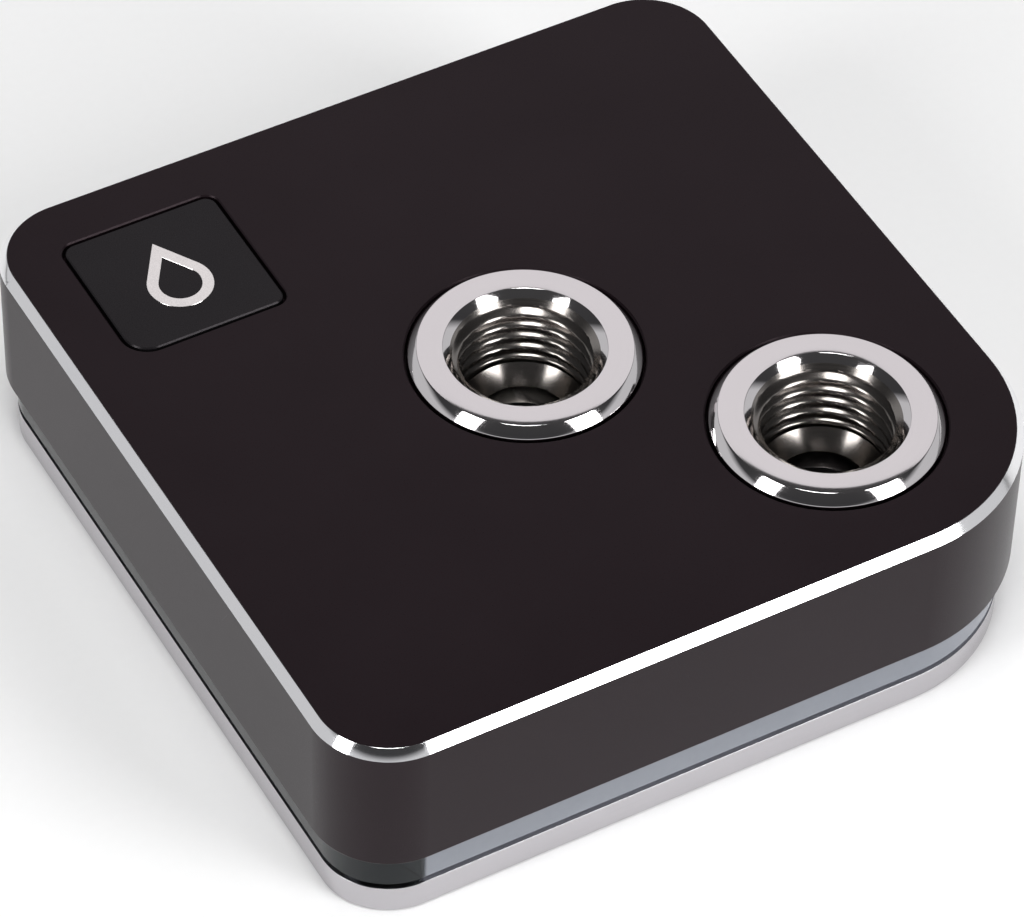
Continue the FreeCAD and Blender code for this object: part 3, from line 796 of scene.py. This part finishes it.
@dataclass
class Cover:
    """Anodised cover with bright cut edges, seats for the collars and the badge's pocket."""

    block: Block
    badge: BadgePlace
    finishes: Finishes
    bevel_width: float = 0.7
    bevel_drop: float = 0.95
    crest: float = 0.05
    foot: float = 0.15
    seat_bevel: float = 0.15
    seat_depth: float = 2.0
    pocket_depth: float = 1.2
    pocket_bevel: float = 0.12
    screw_radius: float = 1.3
    screw_top: float = 13.6
    seat_steps: int = 144

    def outer(self, shell: Shell) -> tuple[Ring, Ring]:
        """Walls from the lower face to the top.

        Args:
            shell: The shell to build in.

        Returns:
            The lowest and the highest ring.
        """
        block = self.block
        low = block.top - self.bevel_drop
        profile = soften(
            [(LEAD, block.frame_top), (0.0, block.frame_top), (0.0, low),
             (self.bevel_width, block.top), (LEAD, block.top)],
            [self.foot, self.crest, self.crest])[1:-1]
        rings = [shell.ring(block.outline(inset), level) for inset, level in profile]
        for (_, foot), (_, head), below, above in zip(profile, profile[1:], rings, rings[1:]):
            bright = (foot + head) / 2 > low
            shell.wall(below, above, int(bright))
        return rings[0], rings[-1]

    def seat(self, shell: Shell, centre: Point) -> tuple[Ring, Ring]:
        """Stepped hole for a collar.

        Args:
            shell: The shell to build in.
            centre: The port's axis.

        Returns:
            Its rings in the top and in the pocket's roof.
        """
        block = self.block
        floor = block.top - self.seat_depth
        rings = shell.tube(centre, [
            (block.seat_radius + self.seat_bevel, block.top),
            (block.seat_radius, block.top - self.seat_bevel),
            (block.seat_radius, floor),
            (block.neck_radius, floor),
            (block.neck_radius, block.roof),
        ], self.seat_steps)
        return rings[0], rings[-1]

    def build(self) -> None:
        """Builds the cover and puts it on the part."""
        block = self.block
        shell = Shell()
        low, high = self.outer(shell)
        seats = [self.seat(shell, block.port(port)) for port in Port]
        floor = block.top - self.pocket_depth
        pocket = [
            shell.ring(self.badge.outline(-self.pocket_bevel), block.top),
            shell.ring(self.badge.outline(0.0), block.top - self.pocket_bevel),
            shell.ring(self.badge.outline(0.0), floor),
        ]
        shell.stack(pocket)
        shell.cap(pocket[-1])
        shell.cap(high, [seats[0][0], seats[1][0], pocket[0]])
        flow = block.flow_hole()
        flow_rings = [shell.ring(flow, block.frame_top), shell.ring(flow, block.roof)]
        shell.stack(flow_rings)
        shell.cap(flow_rings[1], [seats[0][1], seats[1][1]])
        screws = []
        for centre in block.screw_places():
            rings = shell.tube(centre, [
                (self.screw_radius, block.frame_top), (self.screw_radius, self.screw_top),
            ], block.hole_steps)
            shell.fan(rings[-1])
            screws.append(rings[0])
        shell.cap(low, [flow_rings[0], *screws])
        finishes = self.finishes
        cover = shell.finish("cover", finishes.anodised.build(), finishes.cut_edge.build())
        place(cover, "anodised_cover", "top_cover")


@dataclass
class Badge:
    """Anodised tile with a drop mark let into it."""

    block: Block
    badge: BadgePlace
    finishes: Finishes
    play: float = 0.3
    bevel: float = 0.12
    thick: float = 1.05
    drop_radius: float = 3.0
    drop_reach: float = 5.6
    stroke: float = 1.1
    shift: float = 1.3
    depth: float = 0.3
    rise: float = 0.05
    inlay_play: float = 0.03
    inlay_edge: float = 0.02
    steps: int = 56

    def drop(self, inset: float) -> list[Point]:
        """Drop outline drawn in by an inset.

        Args:
            inset: How far its line is drawn in.

        Returns:
            Its points, anticlockwise.
        """
        radius = self.drop_radius - inset
        reach = self.drop_reach * radius / self.drop_radius
        x, y = self.badge.middle[0], self.badge.middle[1] - self.shift
        lean = math.asin(radius / reach)
        return arc((x, y), radius, math.pi - lean, CIRCLE + lean, self.steps) + [(x, y + reach)]

    def tile(self) -> None:
        """Builds the tile with its recess."""
        top = self.block.top
        shell = Shell()
        walls = [
            shell.ring(self.badge.outline(self.play), top - self.thick),
            shell.ring(self.badge.outline(self.play), top - self.bevel),
            shell.ring(self.badge.outline(self.play + self.bevel), top),
        ]
        shell.stack(walls)
        shell.cap(walls[0])
        outer, inner = (
            [shell.ring(self.drop(inset), level) for level in (top, top - self.depth)]
            for inset in (0.0, self.stroke))
        shell.stack(outer)
        shell.stack(inner)
        shell.cap(walls[-1], [outer[0], inner[0]])
        shell.cap(outer[1], [inner[1]])
        place(shell.finish("badge", self.finishes.badge.build()), "anodised_badge", "badge_tile")

    def inlay(self) -> None:
        """Builds the drop mark, with softened edges."""
        low = self.block.top - self.depth
        high = self.block.top + self.rise
        shell = Shell()
        play, edge = self.inlay_play, self.inlay_edge
        sides = []
        for inset, inwards in ((play, edge), (self.stroke - play, -edge)):
            side = [
                shell.ring(self.drop(inset), low),
                shell.ring(self.drop(inset), high - edge),
                shell.ring(self.drop(inset + inwards), high),
            ]
            shell.stack(side)
            sides.append(side)
        outer, inner = sides
        shell.cap(outer[0], [inner[0]])
        shell.cap(outer[-1], [inner[-1]])
        place(shell.finish("drop_mark", self.finishes.inlay.build()), "satin_inlay", "badge_inlay")

    def build(self) -> None:
        """Builds the badge and dresses the film under it."""
        self.tile()
        self.inlay()
        dress_node("badge_film", self.finishes.film.build())


def new_tree(name: str, inputs: dict[str, str]) -> bpy.types.NodeTree:
    """Empty tree of geometry nodes, with a geometry going in and coming out.

    Args:
        name: Its name.
        inputs: Types of its other inputs, by name.

    Returns:
        The tree.
    """
    tree = bpy.data.node_groups.new(name, "GeometryNodeTree")
    for socket, kind in {"Geometry": "Geometry", **inputs}.items():
        tree.interface.new_socket(name=socket, in_out="INPUT", socket_type=f"NodeSocket{kind}")
    tree.interface.new_socket(name="Geometry", in_out="OUTPUT", socket_type="NodeSocketGeometry")
    return tree


def close_tree(graph: Graph, geometry: Socket, finish: Socket) -> None:
    """Makes a tree's geometry real, dresses it and puts it out.

    Args:
        graph: The tree's graph.
        geometry: The geometry.
        finish: Its material.
    """
    real = graph.add("GeometryNodeRealizeInstances", {0: geometry}).outputs[0]
    finished = graph.add("GeometryNodeSetMaterial", {"Geometry": real, "Material": finish})
    graph.add("NodeGroupOutput", {0: finished.outputs[0]})


def grown(name: str, tree: bpy.types.NodeTree, values: dict[str, Any],
          points: Sequence[tuple[float, float, float]] = ()) -> bpy.types.Mesh:
    """Plain mesh that a tree of geometry nodes makes.

    Args:
        name: Name of the mesh.
        tree: The tree.
        values: Its inputs by name.
        points: Points that it starts from, in millimetres.

    Returns:
        The evaluated mesh.
    """
    start = bpy.data.meshes.new(f"{name}_start")
    start.from_pydata([tuple(value * MM for value in point) for point in points], [], [])
    holder = linked(start.name, start)
    modifier = holder.modifiers.new("grow", "NODES")
    modifier.node_group = tree
    for item in tree.interface.items_tree:
        if item.in_out == "INPUT" and item.name in values:
            modifier[item.identifier] = values[item.name]
    graph = bpy.context.evaluated_depsgraph_get()
    mesh = bpy.data.meshes.new_from_object(holder.evaluated_get(graph), depsgraph=graph)
    mesh.name = name
    bpy.data.objects.remove(holder)
    return mesh


class ThreadNodes:
    """Geometry nodes that wind a thread on a cylinder, between a run-out and a cone."""

    LENGTHS = ("Crest Radius", "Depth", "Pitch", "Low", "Length", "Run Out", "Cone Level")
    COUNTS = ("Segments", "Rows")

    def __init__(self) -> None:
        """Builds the tree."""
        lengths = dict.fromkeys(self.LENGTHS, "Float")
        counts = dict.fromkeys(self.COUNTS, "Int")
        self.tree = new_tree("wound_thread", {**lengths, **counts, "Finish": "Material"})
        self.wire(Graph(self.tree))

    def wind(self, name: str, finish: Material, segments: int, rows: int,
             **lengths: float) -> bpy.types.Mesh:
        """Winds a thread about the Z axis.

        Args:
            name: Name of the mesh.
            finish: Its material.
            segments: Divisions round it.
            rows: Divisions along it.
            lengths: The tree's lengths in millimetres, each by its name with underscores.

        Returns:
            The mesh.
        """
        values = {key.replace("_", " ").title(): value * MM for key, value in lengths.items()}
        return grown(name, self.tree, {**values, "Segments": segments, "Rows": rows, "Finish": finish})

    def wire(self, graph: Graph) -> None:
        """Adds the nodes.

        Args:
            graph: The tree's graph.
        """
        given = graph.add("NodeGroupInput").outputs
        grid = graph.add("GeometryNodeMeshGrid", {
            "Size X": 1.0, "Size Y": 1.0,
            "Vertices X": graph.math("ADD", given["Segments"], 1.0),
            "Vertices Y": graph.math("ADD", given["Rows"], 1.0),
        })
        spot = graph.add("ShaderNodeSeparateXYZ", {0: graph.add("GeometryNodeInputPosition").outputs[0]})
        around = graph.math("ADD", spot.outputs[0], 0.5)
        along = graph.math("ADD", spot.outputs[1], 0.5)
        level = graph.math("ADD", graph.math("MULTIPLY", along, given["Length"]), given["Low"])
        turns = graph.math("SUBTRACT", graph.math("DIVIDE", level, given["Pitch"]), around)
        phase = graph.math("FRACT", turns)
        fold = graph.math("ABSOLUTE", graph.math("SUBTRACT", graph.math("MULTIPLY", phase, 2.0), 1.0))
        flank = graph.math("SUBTRACT", 1.0, fold)
        wave = graph.math("COSINE", graph.math("MULTIPLY", phase, CIRCLE))
        soft = graph.math("SUBTRACT", 0.5, graph.math("MULTIPLY", wave, 0.5))
        shape = graph.math("MULTIPLY", graph.math("ADD", flank, soft), 0.5)
        full_from = graph.math("ADD", given["Low"], given["Run Out"])
        fade = graph.span(level, given["Low"], full_from, shape="SMOOTHSTEP")
        depth = graph.math("MULTIPLY", graph.math("MULTIPLY", given["Depth"], shape), fade)
        radius = graph.math("ADD", given["Crest Radius"], depth)
        cone = graph.math("ADD", given["Crest Radius"], graph.math("SUBTRACT", level, given["Cone Level"]))
        radius = graph.math("MAXIMUM", radius, cone)
        angle = graph.math("MULTIPLY", around, CIRCLE)
        place_at = graph.add("ShaderNodeCombineXYZ", {
            0: graph.math("MULTIPLY", radius, graph.math("COSINE", angle)),
            1: graph.math("MULTIPLY", radius, graph.math("SINE", angle)),
            2: level,
        })
        wound = graph.add("GeometryNodeSetPosition", {
            "Geometry": grid.outputs[0], "Position": place_at.outputs[0],
        })
        closed = graph.add("GeometryNodeMergeByDistance", {"Geometry": wound.outputs[0], "Distance": WELD})
        close_tree(graph, closed.outputs[0], given["Finish"])


class CopyNodes:
    """Geometry nodes that set a copy of one shape on each point of a mesh, each turned at random."""

    def __init__(self) -> None:
        """Builds the tree."""
        self.tree = new_tree("set_out_copies", {
            "Shape": "Object", "Turn": "Float", "Seed": "Int", "Finish": "Material",
        })
        graph = Graph(self.tree)
        given = graph.add("NodeGroupInput").outputs
        shape = graph.add("GeometryNodeObjectInfo", {"Object": given["Shape"]})
        spin = graph.add("FunctionNodeRandomValue", {
            2: 0.0, 3: given["Turn"], "Seed": given["Seed"],
        }, data_type="FLOAT").outputs[1]
        turned = graph.add("ShaderNodeCombineXYZ", {2: spin})
        copies = graph.add("GeometryNodeInstanceOnPoints", {
            "Points": given["Geometry"],
            "Instance": shape.outputs["Geometry"],
            "Rotation": turned.outputs[0],
        })
        close_tree(graph, copies.outputs[0], given["Finish"])

    def set_out(self, name: str, shape: bpy.types.Object, points: Sequence[tuple[float, float, float]],
                finish: Material, turn: float = 0.0, seed: int = 1) -> bpy.types.Object:
        """Sets out copies of a shape and removes the shape itself.

        Args:
            name: Name of the new piece.
            shape: The shape.
            points: Where its copies stand, in millimetres.
            finish: Their material.
            turn: Largest random turn about Z, in radians.
            seed: Seed of the turns.

        Returns:
            The piece.
        """
        values = {"Shape": shape, "Turn": turn, "Seed": seed, "Finish": finish}
        mesh = grown(name, self.tree, values, points)
        bpy.data.objects.remove(shape)
        return smoothed(name, mesh)


@dataclass
class Collar:
    """Turned and chromed port collar with a wound thread in its bore."""

    block: Block
    finishes: Finishes
    threads: ThreadNodes
    port: Port
    radius: float = 10.33
    rise: float = 0.95
    flat_radius: float = 9.48
    leans: tuple[float, float] = (46.0, 34.0)
    bevel_steps: int = 8
    sink: float = 2.0
    mouth: float = 7.2
    crest: float = 5.72
    root: float = 6.58
    pitch: float = 1.337
    thread_length: float = 6.25
    bore: float = 4.2
    neck: float = 8.0
    neck_length: float = 8.4
    groove_low: float = 0.4
    groove_high: float = 1.7
    groove_radius: float = 6.75
    edge: float = 0.06
    inner_edge: float = 0.04
    run_out: float = 1.1
    segments: int = 256
    rows_per_pitch: int = 22

    def wound(self, material: Material) -> tuple[bpy.types.Mesh, float, float]:
        """The thread's surface about the Z axis.

        Args:
            material: The bore's material.

        Returns:
            The mesh and its lowest and highest level.
        """
        flat = self.block.top + self.rise
        cone_level = flat - self.mouth + self.crest
        low = cone_level - self.thread_length
        high = cone_level + self.root - self.crest
        rows = round((high - low) / self.pitch * self.rows_per_pitch)
        mesh = self.threads.wind(
            f"{self.port.value}_thread", material, self.segments, rows,
            crest_radius=self.crest, depth=self.root - self.crest, pitch=self.pitch, low=low,
            length=high - low, run_out=self.run_out, cone_level=cone_level)
        return mesh, low, high

    def profile(self, low: float, high: float) -> list[Point]:
        """Outline from the thread's top over flange and neck to the thread's foot.

        Args:
            low: Lowest level of the thread.
            high: Highest level of the thread.

        Returns:
            Pairs of radius and level.
        """
        flat = self.block.top + self.rise
        flange = self.block.top - self.sink
        end = flange - self.neck_length
        high_lean, low_lean = (math.radians(value) for value in self.leans)
        curve = (self.radius - self.flat_radius) / (math.cos(low_lean) - math.cos(high_lean))
        hub = (self.flat_radius - curve * math.cos(high_lean), flat - curve * math.sin(high_lean))
        bevel = arc(hub, curve, high_lean, low_lean, self.bevel_steps)
        face = [(self.root, high), (self.mouth, flat), bevel[0], bevel[1]]
        neck = [
            bevel[-1], (self.radius, flange), (self.neck, flange),
            (self.neck, end + self.groove_high), (self.groove_radius, end + self.groove_high),
            (self.groove_radius, end + self.groove_low), (self.neck, end + self.groove_low),
            (self.neck, end), (self.bore, end),
            (self.bore, low - self.crest + self.bore), (self.crest, low),
        ]
        shown = soften(face, [self.edge, self.edge])[:-1]
        hidden = soften(neck, [self.inner_edge] * (len(neck) - 2))[1:]
        return shown + bevel[1:] + hidden

    def build(self) -> None:
        """Builds the collar, with a rougher bore whose darker colour is painted shade, and puts it on the
        part.
        """
        centre = self.block.port(self.port)
        finishes = (self.finishes.chrome, self.finishes.bore_chrome)
        polished, dull_shaded = (finish.at(self.port, centre).build() for finish in finishes)
        thread, low, high = self.wound(dull_shaded)
        thread.transform(Matrix.Translation((centre[0] * MM, centre[1] * MM, 0.0)))
        shell = Shell(thread)
        shell.tube(centre, self.profile(low, high), self.segments)
        # Faces inside the thread's root take the bore finish, whose darker colour is painted shade
        for face in shell.mesh.faces:
            middle = face.calc_center_median() / MM
            face.material_index = int(math.dist((middle.x, middle.y), centre) < self.root)
        collar = shell.finish(f"{self.port.value}_port", polished, dull_shaded)
        place(collar, "port_chrome", f"{self.port.value}_collar")
        dress_node(f"{self.port.value}_collar_seal", self.finishes.rubber.build())


@dataclass
class Spacer:
    """Clear frame between cover and base plate."""

    block: Block
    finishes: Finishes
    bevel: float = 0.65
    edge: float = 0.05
    screw_radius: float = 1.35

    def build(self) -> None:
        """Builds the frame and puts it on the part."""
        block = self.block
        profile = soften(
            [(LEAD, block.base_top), (self.bevel, block.base_top), (0.0, block.base_top + self.bevel),
             (0.0, block.frame_top), (LEAD, block.frame_top)],
            [self.edge, self.edge, self.edge])[1:-1]
        shell = Shell()
        outer = [shell.ring(block.outline(block.rim_inset + inset), level) for inset, level in profile]
        shell.stack(outer)
        flow = block.flow_hole()
        inner = [shell.ring(flow, level) for level in (block.base_top, block.frame_top)]
        shell.stack(inner)
        screws = [shell.tube(centre, [
            (self.screw_radius, block.base_top), (self.screw_radius, block.frame_top),
        ], block.hole_steps) for centre in block.screw_places()]
        shell.cap(outer[0], [inner[0], *(rings[0] for rings in screws)])
        shell.cap(outer[-1], [inner[-1], *(rings[-1] for rings in screws)])
        place(shell.finish("spacer", self.finishes.acrylic.build()), "clear_acrylic", "spacer_frame")


@dataclass
class ColdPlate:
    """Nickel-plated base plate with its field of fins."""

    block: Block
    finishes: Finishes
    copies: CopyNodes
    bevel: float = 0.25
    edge: float = 0.05
    top_edge: float = 0.03
    sink_radius: float = 2.5
    screw_radius: float = 1.35
    field_side: float = 28.0
    field_corner: float = 1.0
    channel_floor: float = 1.6
    fin_top: float = 5.0
    fin_width: float = 0.5
    fin_pitch: float = 1.0
    fin_count: int = 28
    fin_edge: float = 0.06
    fin_steps: int = 2
    fin_gap: float = 0.01
    field_steps: int = 6

    def plate(self, material: Material) -> None:
        """Builds the plate.

        Args:
            material: Its material.
        """
        block = self.block
        top = block.base_top
        profile = soften(
            [(LEAD, 0.0), (self.bevel, 0.0), (0.0, self.bevel), (0.0, top), (LEAD, top)],
            [self.edge, self.edge, self.top_edge])[1:-1]
        shell = Shell()
        outer = [shell.ring(block.outline(block.rim_inset + inset), level) for inset, level in profile]
        shell.stack(outer)
        holes = [shell.tube(centre, [
            (self.sink_radius, 0.0),
            (self.screw_radius, self.sink_radius - self.screw_radius),
            (self.screw_radius, top),
        ], block.hole_steps) for centre in block.screw_places()]
        channels = rounded(
            block.inlet, self.field_side / 2, [self.field_corner] * 4, self.field_steps)
        pocket = [shell.ring(channels, level) for level in (top, self.channel_floor)]
        shell.stack(pocket)
        shell.cap(pocket[1])
        shell.cap(outer[0], [rings[0] for rings in holes])
        shell.cap(outer[-1], [pocket[0], *(rings[-1] for rings in holes)])
        place(shell.finish("base", material), "nickel_plate", "base_plate")

    def fins(self, material: Material) -> None:
        """Builds the fins, one copy at each step of the pitch.

        Args:
            material: Their material.
        """
        half_width = self.fin_width / 2
        half_length = self.field_side / 2 - self.fin_gap
        profile = soften(
            [(-half_width, self.channel_floor), (-half_width, self.fin_top), (half_width, self.fin_top),
             (half_width, self.channel_floor)],
            [self.fin_edge, self.fin_edge], self.fin_steps)
        shape = Shell()
        ends = [[shape.mesh.verts.new((x * MM, y * MM, z * MM)) for y, z in profile]
                for x in (-half_length, half_length)]
        shape.wall(ends[0], ends[1])
        shape.fan(ends[0])
        shape.fan(ends[1])
        fin = shape.finish("one_fin", material, crisp=False)
        x, y = self.block.inlet
        first = y - (self.fin_count - 1) * self.fin_pitch / 2
        points = [(x, first + index * self.fin_pitch, 0.0) for index in range(self.fin_count)]
        place(self.copies.set_out("fins", fin, points, material), "nickel_plate")

    def build(self) -> None:
        """Builds plate and fins."""
        material = self.finishes.nickel.build()
        self.plate(material)
        self.fins(material)


@dataclass
class Screws:
    """Countersunk socket screws that clamp base plate and frame to the cover."""

    block: Block
    finishes: Finishes
    threads: ThreadNodes
    copies: CopyNodes
    head: float = 2.35
    rim: float = 0.1
    rim_edge: float = 0.08
    shank: float = 1.25
    neck_level: float = 1.35
    tip: float = 12.8
    tip_bevel: float = 0.3
    thread_depth: float = 0.24
    thread_pitch: float = 0.45
    socket: float = 1.5
    socket_depth: float = 0.9
    socket_cone: float = 0.35
    socket_sides: int = 6
    segments: int = 24
    rows: int = 150
    seed: int = 7

    def hexagon(self) -> list[Point]:
        """Corners of the socket.

        Returns:
            Its points about the Z axis.
        """
        radius = self.socket / 2 / math.cos(math.pi / self.socket_sides)
        return circle((0.0, 0.0), radius, self.socket_sides)

    def one(self, material: Material) -> bpy.types.Object:
        """One screw about the Z axis, with its head at the bottom.

        Args:
            material: The screws' material.

        Returns:
            The screw.
        """
        thread_top = self.tip - self.tip_bevel
        shell = Shell(self.threads.wind(
            "screw_thread", material, self.segments, self.rows,
            crest_radius=self.shank, depth=-self.thread_depth, pitch=self.thread_pitch,
            low=self.neck_level, length=thread_top - self.neck_level, run_out=self.thread_pitch,
            cone_level=NO_CONE))
        top = [vert for vert in shell.mesh.verts if vert.co.z > (thread_top - WELD / MM) * MM]
        tip_radius = self.shank - self.thread_depth - self.tip_bevel
        end = shell.ring(circle((0.0, 0.0), tip_radius, self.segments), self.tip)
        for ring in (top, end):
            ring.sort(key=lambda vert: math.atan2(vert.co.y, vert.co.x))
        shell.wall(top, end)
        shell.fan(end)
        head = shell.tube((0.0, 0.0), [
            (self.head - self.rim_edge, self.rim),
            (self.head, self.rim + self.rim_edge),
            (self.shank, self.rim + self.head - self.shank),
            (self.shank, self.neck_level),
        ], self.segments)
        flats = [shell.ring(self.hexagon(), level) for level in (self.rim, self.rim + self.socket_depth)]
        shell.stack(flats)
        shell.cap(head[0], [flats[0]])
        deepest = self.rim + self.socket_depth + self.socket_cone
        middle = shell.mesh.verts.new((0.0, 0.0, deepest * MM))
        corners = flats[1]
        for corner, following in zip(corners, corners[1:] + corners[:1]):
            shell.mesh.faces.new((corner, following, middle))
        return shell.finish("one_screw", material, crisp=False)

    def build(self) -> None:
        """Builds the screws and puts them on the part."""
        material = self.finishes.screw.build()
        screw = self.one(material)
        points = [(x, y, 0.0) for x, y in self.block.screw_places()]
        screws = self.copies.set_out("screws", screw, points, material, turn=CIRCLE, seed=self.seed)
        place(screws, "screw_steel", "base_screws")


@dataclass
class Inside:
    """Pieces inside the block, which keep their solids' shape."""

    finishes: Finishes

    def build(self) -> None:
        """Dresses the inner nodes."""
        rubber = self.finishes.rubber.build()
        dress_node("flow_body", self.finishes.acetal.build())
        dress_node("main_seal", rubber)
        dress_node("nozzle_gasket", rubber)
        dress_node("jet_plate", self.finishes.sheet.build())


@dataclass(frozen=True)
class Softbox:
    """A rectangular light that faces the block."""

    name: str
    azimuth: float
    width: float
    radiance: float
    elevation: float = 25.0
    distance: float = 700.0
    height: float = 500.0
    colour: Colour = (1.0, 1.0, 1.0)

    def build(self, target: Vector) -> None:
        """Adds the light.

        Args:
            target: Point that it faces, in metres.
        """
        light = bpy.data.lights.new(self.name, "AREA")
        light.shape = "RECTANGLE"
        light.size = self.width * MM
        light.size_y = self.height * MM
        light.color = self.colour
        light.energy = self.radiance * math.pi * light.size * light.size_y
        lamp = linked(self.name, light)
        back = towards(self.azimuth, self.elevation)
        lamp.location = target + back * self.distance * MM
        lamp.rotation_mode = "QUATERNION"
        lamp.rotation_quaternion = (-back).to_track_quat("-Z", "Y")
        lamp.visible_camera = False


@dataclass
class Studio:
    """Camera, floor and light. None of it belongs to the part."""

    azimuth: float = -30.23
    elevation: float = 46.63
    roll: float = 1.65
    distance: float = 489.7
    aside: float = 1.074
    above: float = 9.451
    level: float = 21.4
    lens: float = 198.0
    sensor: float = 36.0
    nearest: float = 10.0
    farthest: float = 20000.0
    floor_side: float = 6000.0
    floor_finish: Finish = Finish(
        "pale_floor", (0.92, 0.92, 0.92), (0.90, 0.90, 0.90), gloss=(0.7, 0.8),
        mark_size=1.0, mottle_size=400.0, relief=0.0, specular=0.2)
    horizon: Colour = (0.62, 0.62, 0.63)
    sky: Colour = (0.045, 0.045, 0.047)
    zenith: Colour = (0.06, 0.06, 0.06)
    haze_end: float = 0.29
    sky_start: float = 0.40

    def boxes(self) -> list[Softbox]:
        """The lights.

        Returns:
            Soft boxes in front, on the left, behind and above.
        """
        return [
            Softbox("front_box", azimuth=28.0, width=280.0, radiance=7.5),
            Softbox("left_box", azimuth=-81.0, width=215.0, radiance=6.9),
            Softbox("rear_box", azimuth=149.8, width=380.0, radiance=0.80, elevation=39.5,
                    distance=800.0, height=340.0, colour=(1.0, 0.965, 0.985)),
            Softbox("top_box", azimuth=-34.0, width=260.0, radiance=11.0, elevation=79.0,
                    distance=900.0, height=520.0),
        ]

    def camera(self) -> None:
        """Adds the camera."""
        back = towards(self.azimuth, self.elevation)
        roll = math.radians(self.roll)
        level_x = Vector((0.0, 0.0, 1.0)).cross(back).normalized()
        level_y = back.cross(level_x)
        right = level_x * math.cos(roll) + level_y * math.sin(roll)
        up = level_y * math.cos(roll) - level_x * math.sin(roll)
        spot = back * self.distance - right * self.aside - up * self.above
        spot.z += self.level
        data = bpy.data.cameras.new("camera")
        data.lens = self.lens
        data.sensor_width = self.sensor
        data.clip_start = self.nearest * MM
        data.clip_end = self.farthest * MM
        camera = linked("camera", data)
        turned = Matrix((right, up, back)).transposed().to_4x4()
        camera.matrix_world = Matrix.Translation(spot * MM) @ turned
        bpy.context.scene.camera = camera

    def floor(self) -> None:
        """Adds the pale floor."""
        half = self.floor_side / 2
        shell = Shell()
        shell.fan(shell.ring([(-half, -half), (half, -half), (half, half), (-half, half)], 0.0))
        shell.finish("floor", self.floor_finish.build(), crisp=False)

    def world(self) -> None:
        """Sets the soft surround, lighter towards the horizon."""
        world = bpy.data.worlds.new("surround")
        world.use_nodes = True
        bpy.context.scene.world = world
        graph = Graph(world.node_tree)
        direction = graph.add("ShaderNodeTexCoord").outputs["Generated"]
        height = graph.add("ShaderNodeSeparateXYZ", {0: direction}).outputs[2]
        ramp = graph.add("ShaderNodeValToRGB", {"Fac": height})
        stops = ramp.color_ramp.elements
        stops[0].position, stops[0].color = self.haze_end, (*self.horizon, 1.0)
        stops[1].position, stops[1].color = 1.0, (*self.zenith, 1.0)
        stops.new(self.sky_start).color = (*self.sky, 1.0)
        graph.feed(world.node_tree.nodes["Background"], {"Color": ramp.outputs[0]})

    def build(self) -> None:
        """Sets up the studio."""
        self.camera()
        self.floor()
        self.world()
        target = Vector((0.0, 0.0, self.level * MM))
        for box in self.boxes():
            box.build(target)
        bpy.context.scene.view_settings.view_transform = "Standard"


def main() -> None:
    """Builds the part's looks and the studio."""
    logging.basicConfig(level=logging.INFO, format="%(name)s: %(message)s")
    block = Block()
    badge = BadgePlace()
    finishes = Finishes()
    threads = ThreadNodes()
    copies = CopyNodes()
    Studio().build()
    Cover(block, badge, finishes).build()
    Badge(block, badge, finishes).build()
    for port in Port:
        Collar(block, finishes, threads, port).build()
    Spacer(block, finishes).build()
    ColdPlate(block, finishes, copies).build()
    Screws(block, finishes, threads, copies).build()
    Inside(finishes).build()


if __name__ == "__main__":
    main()
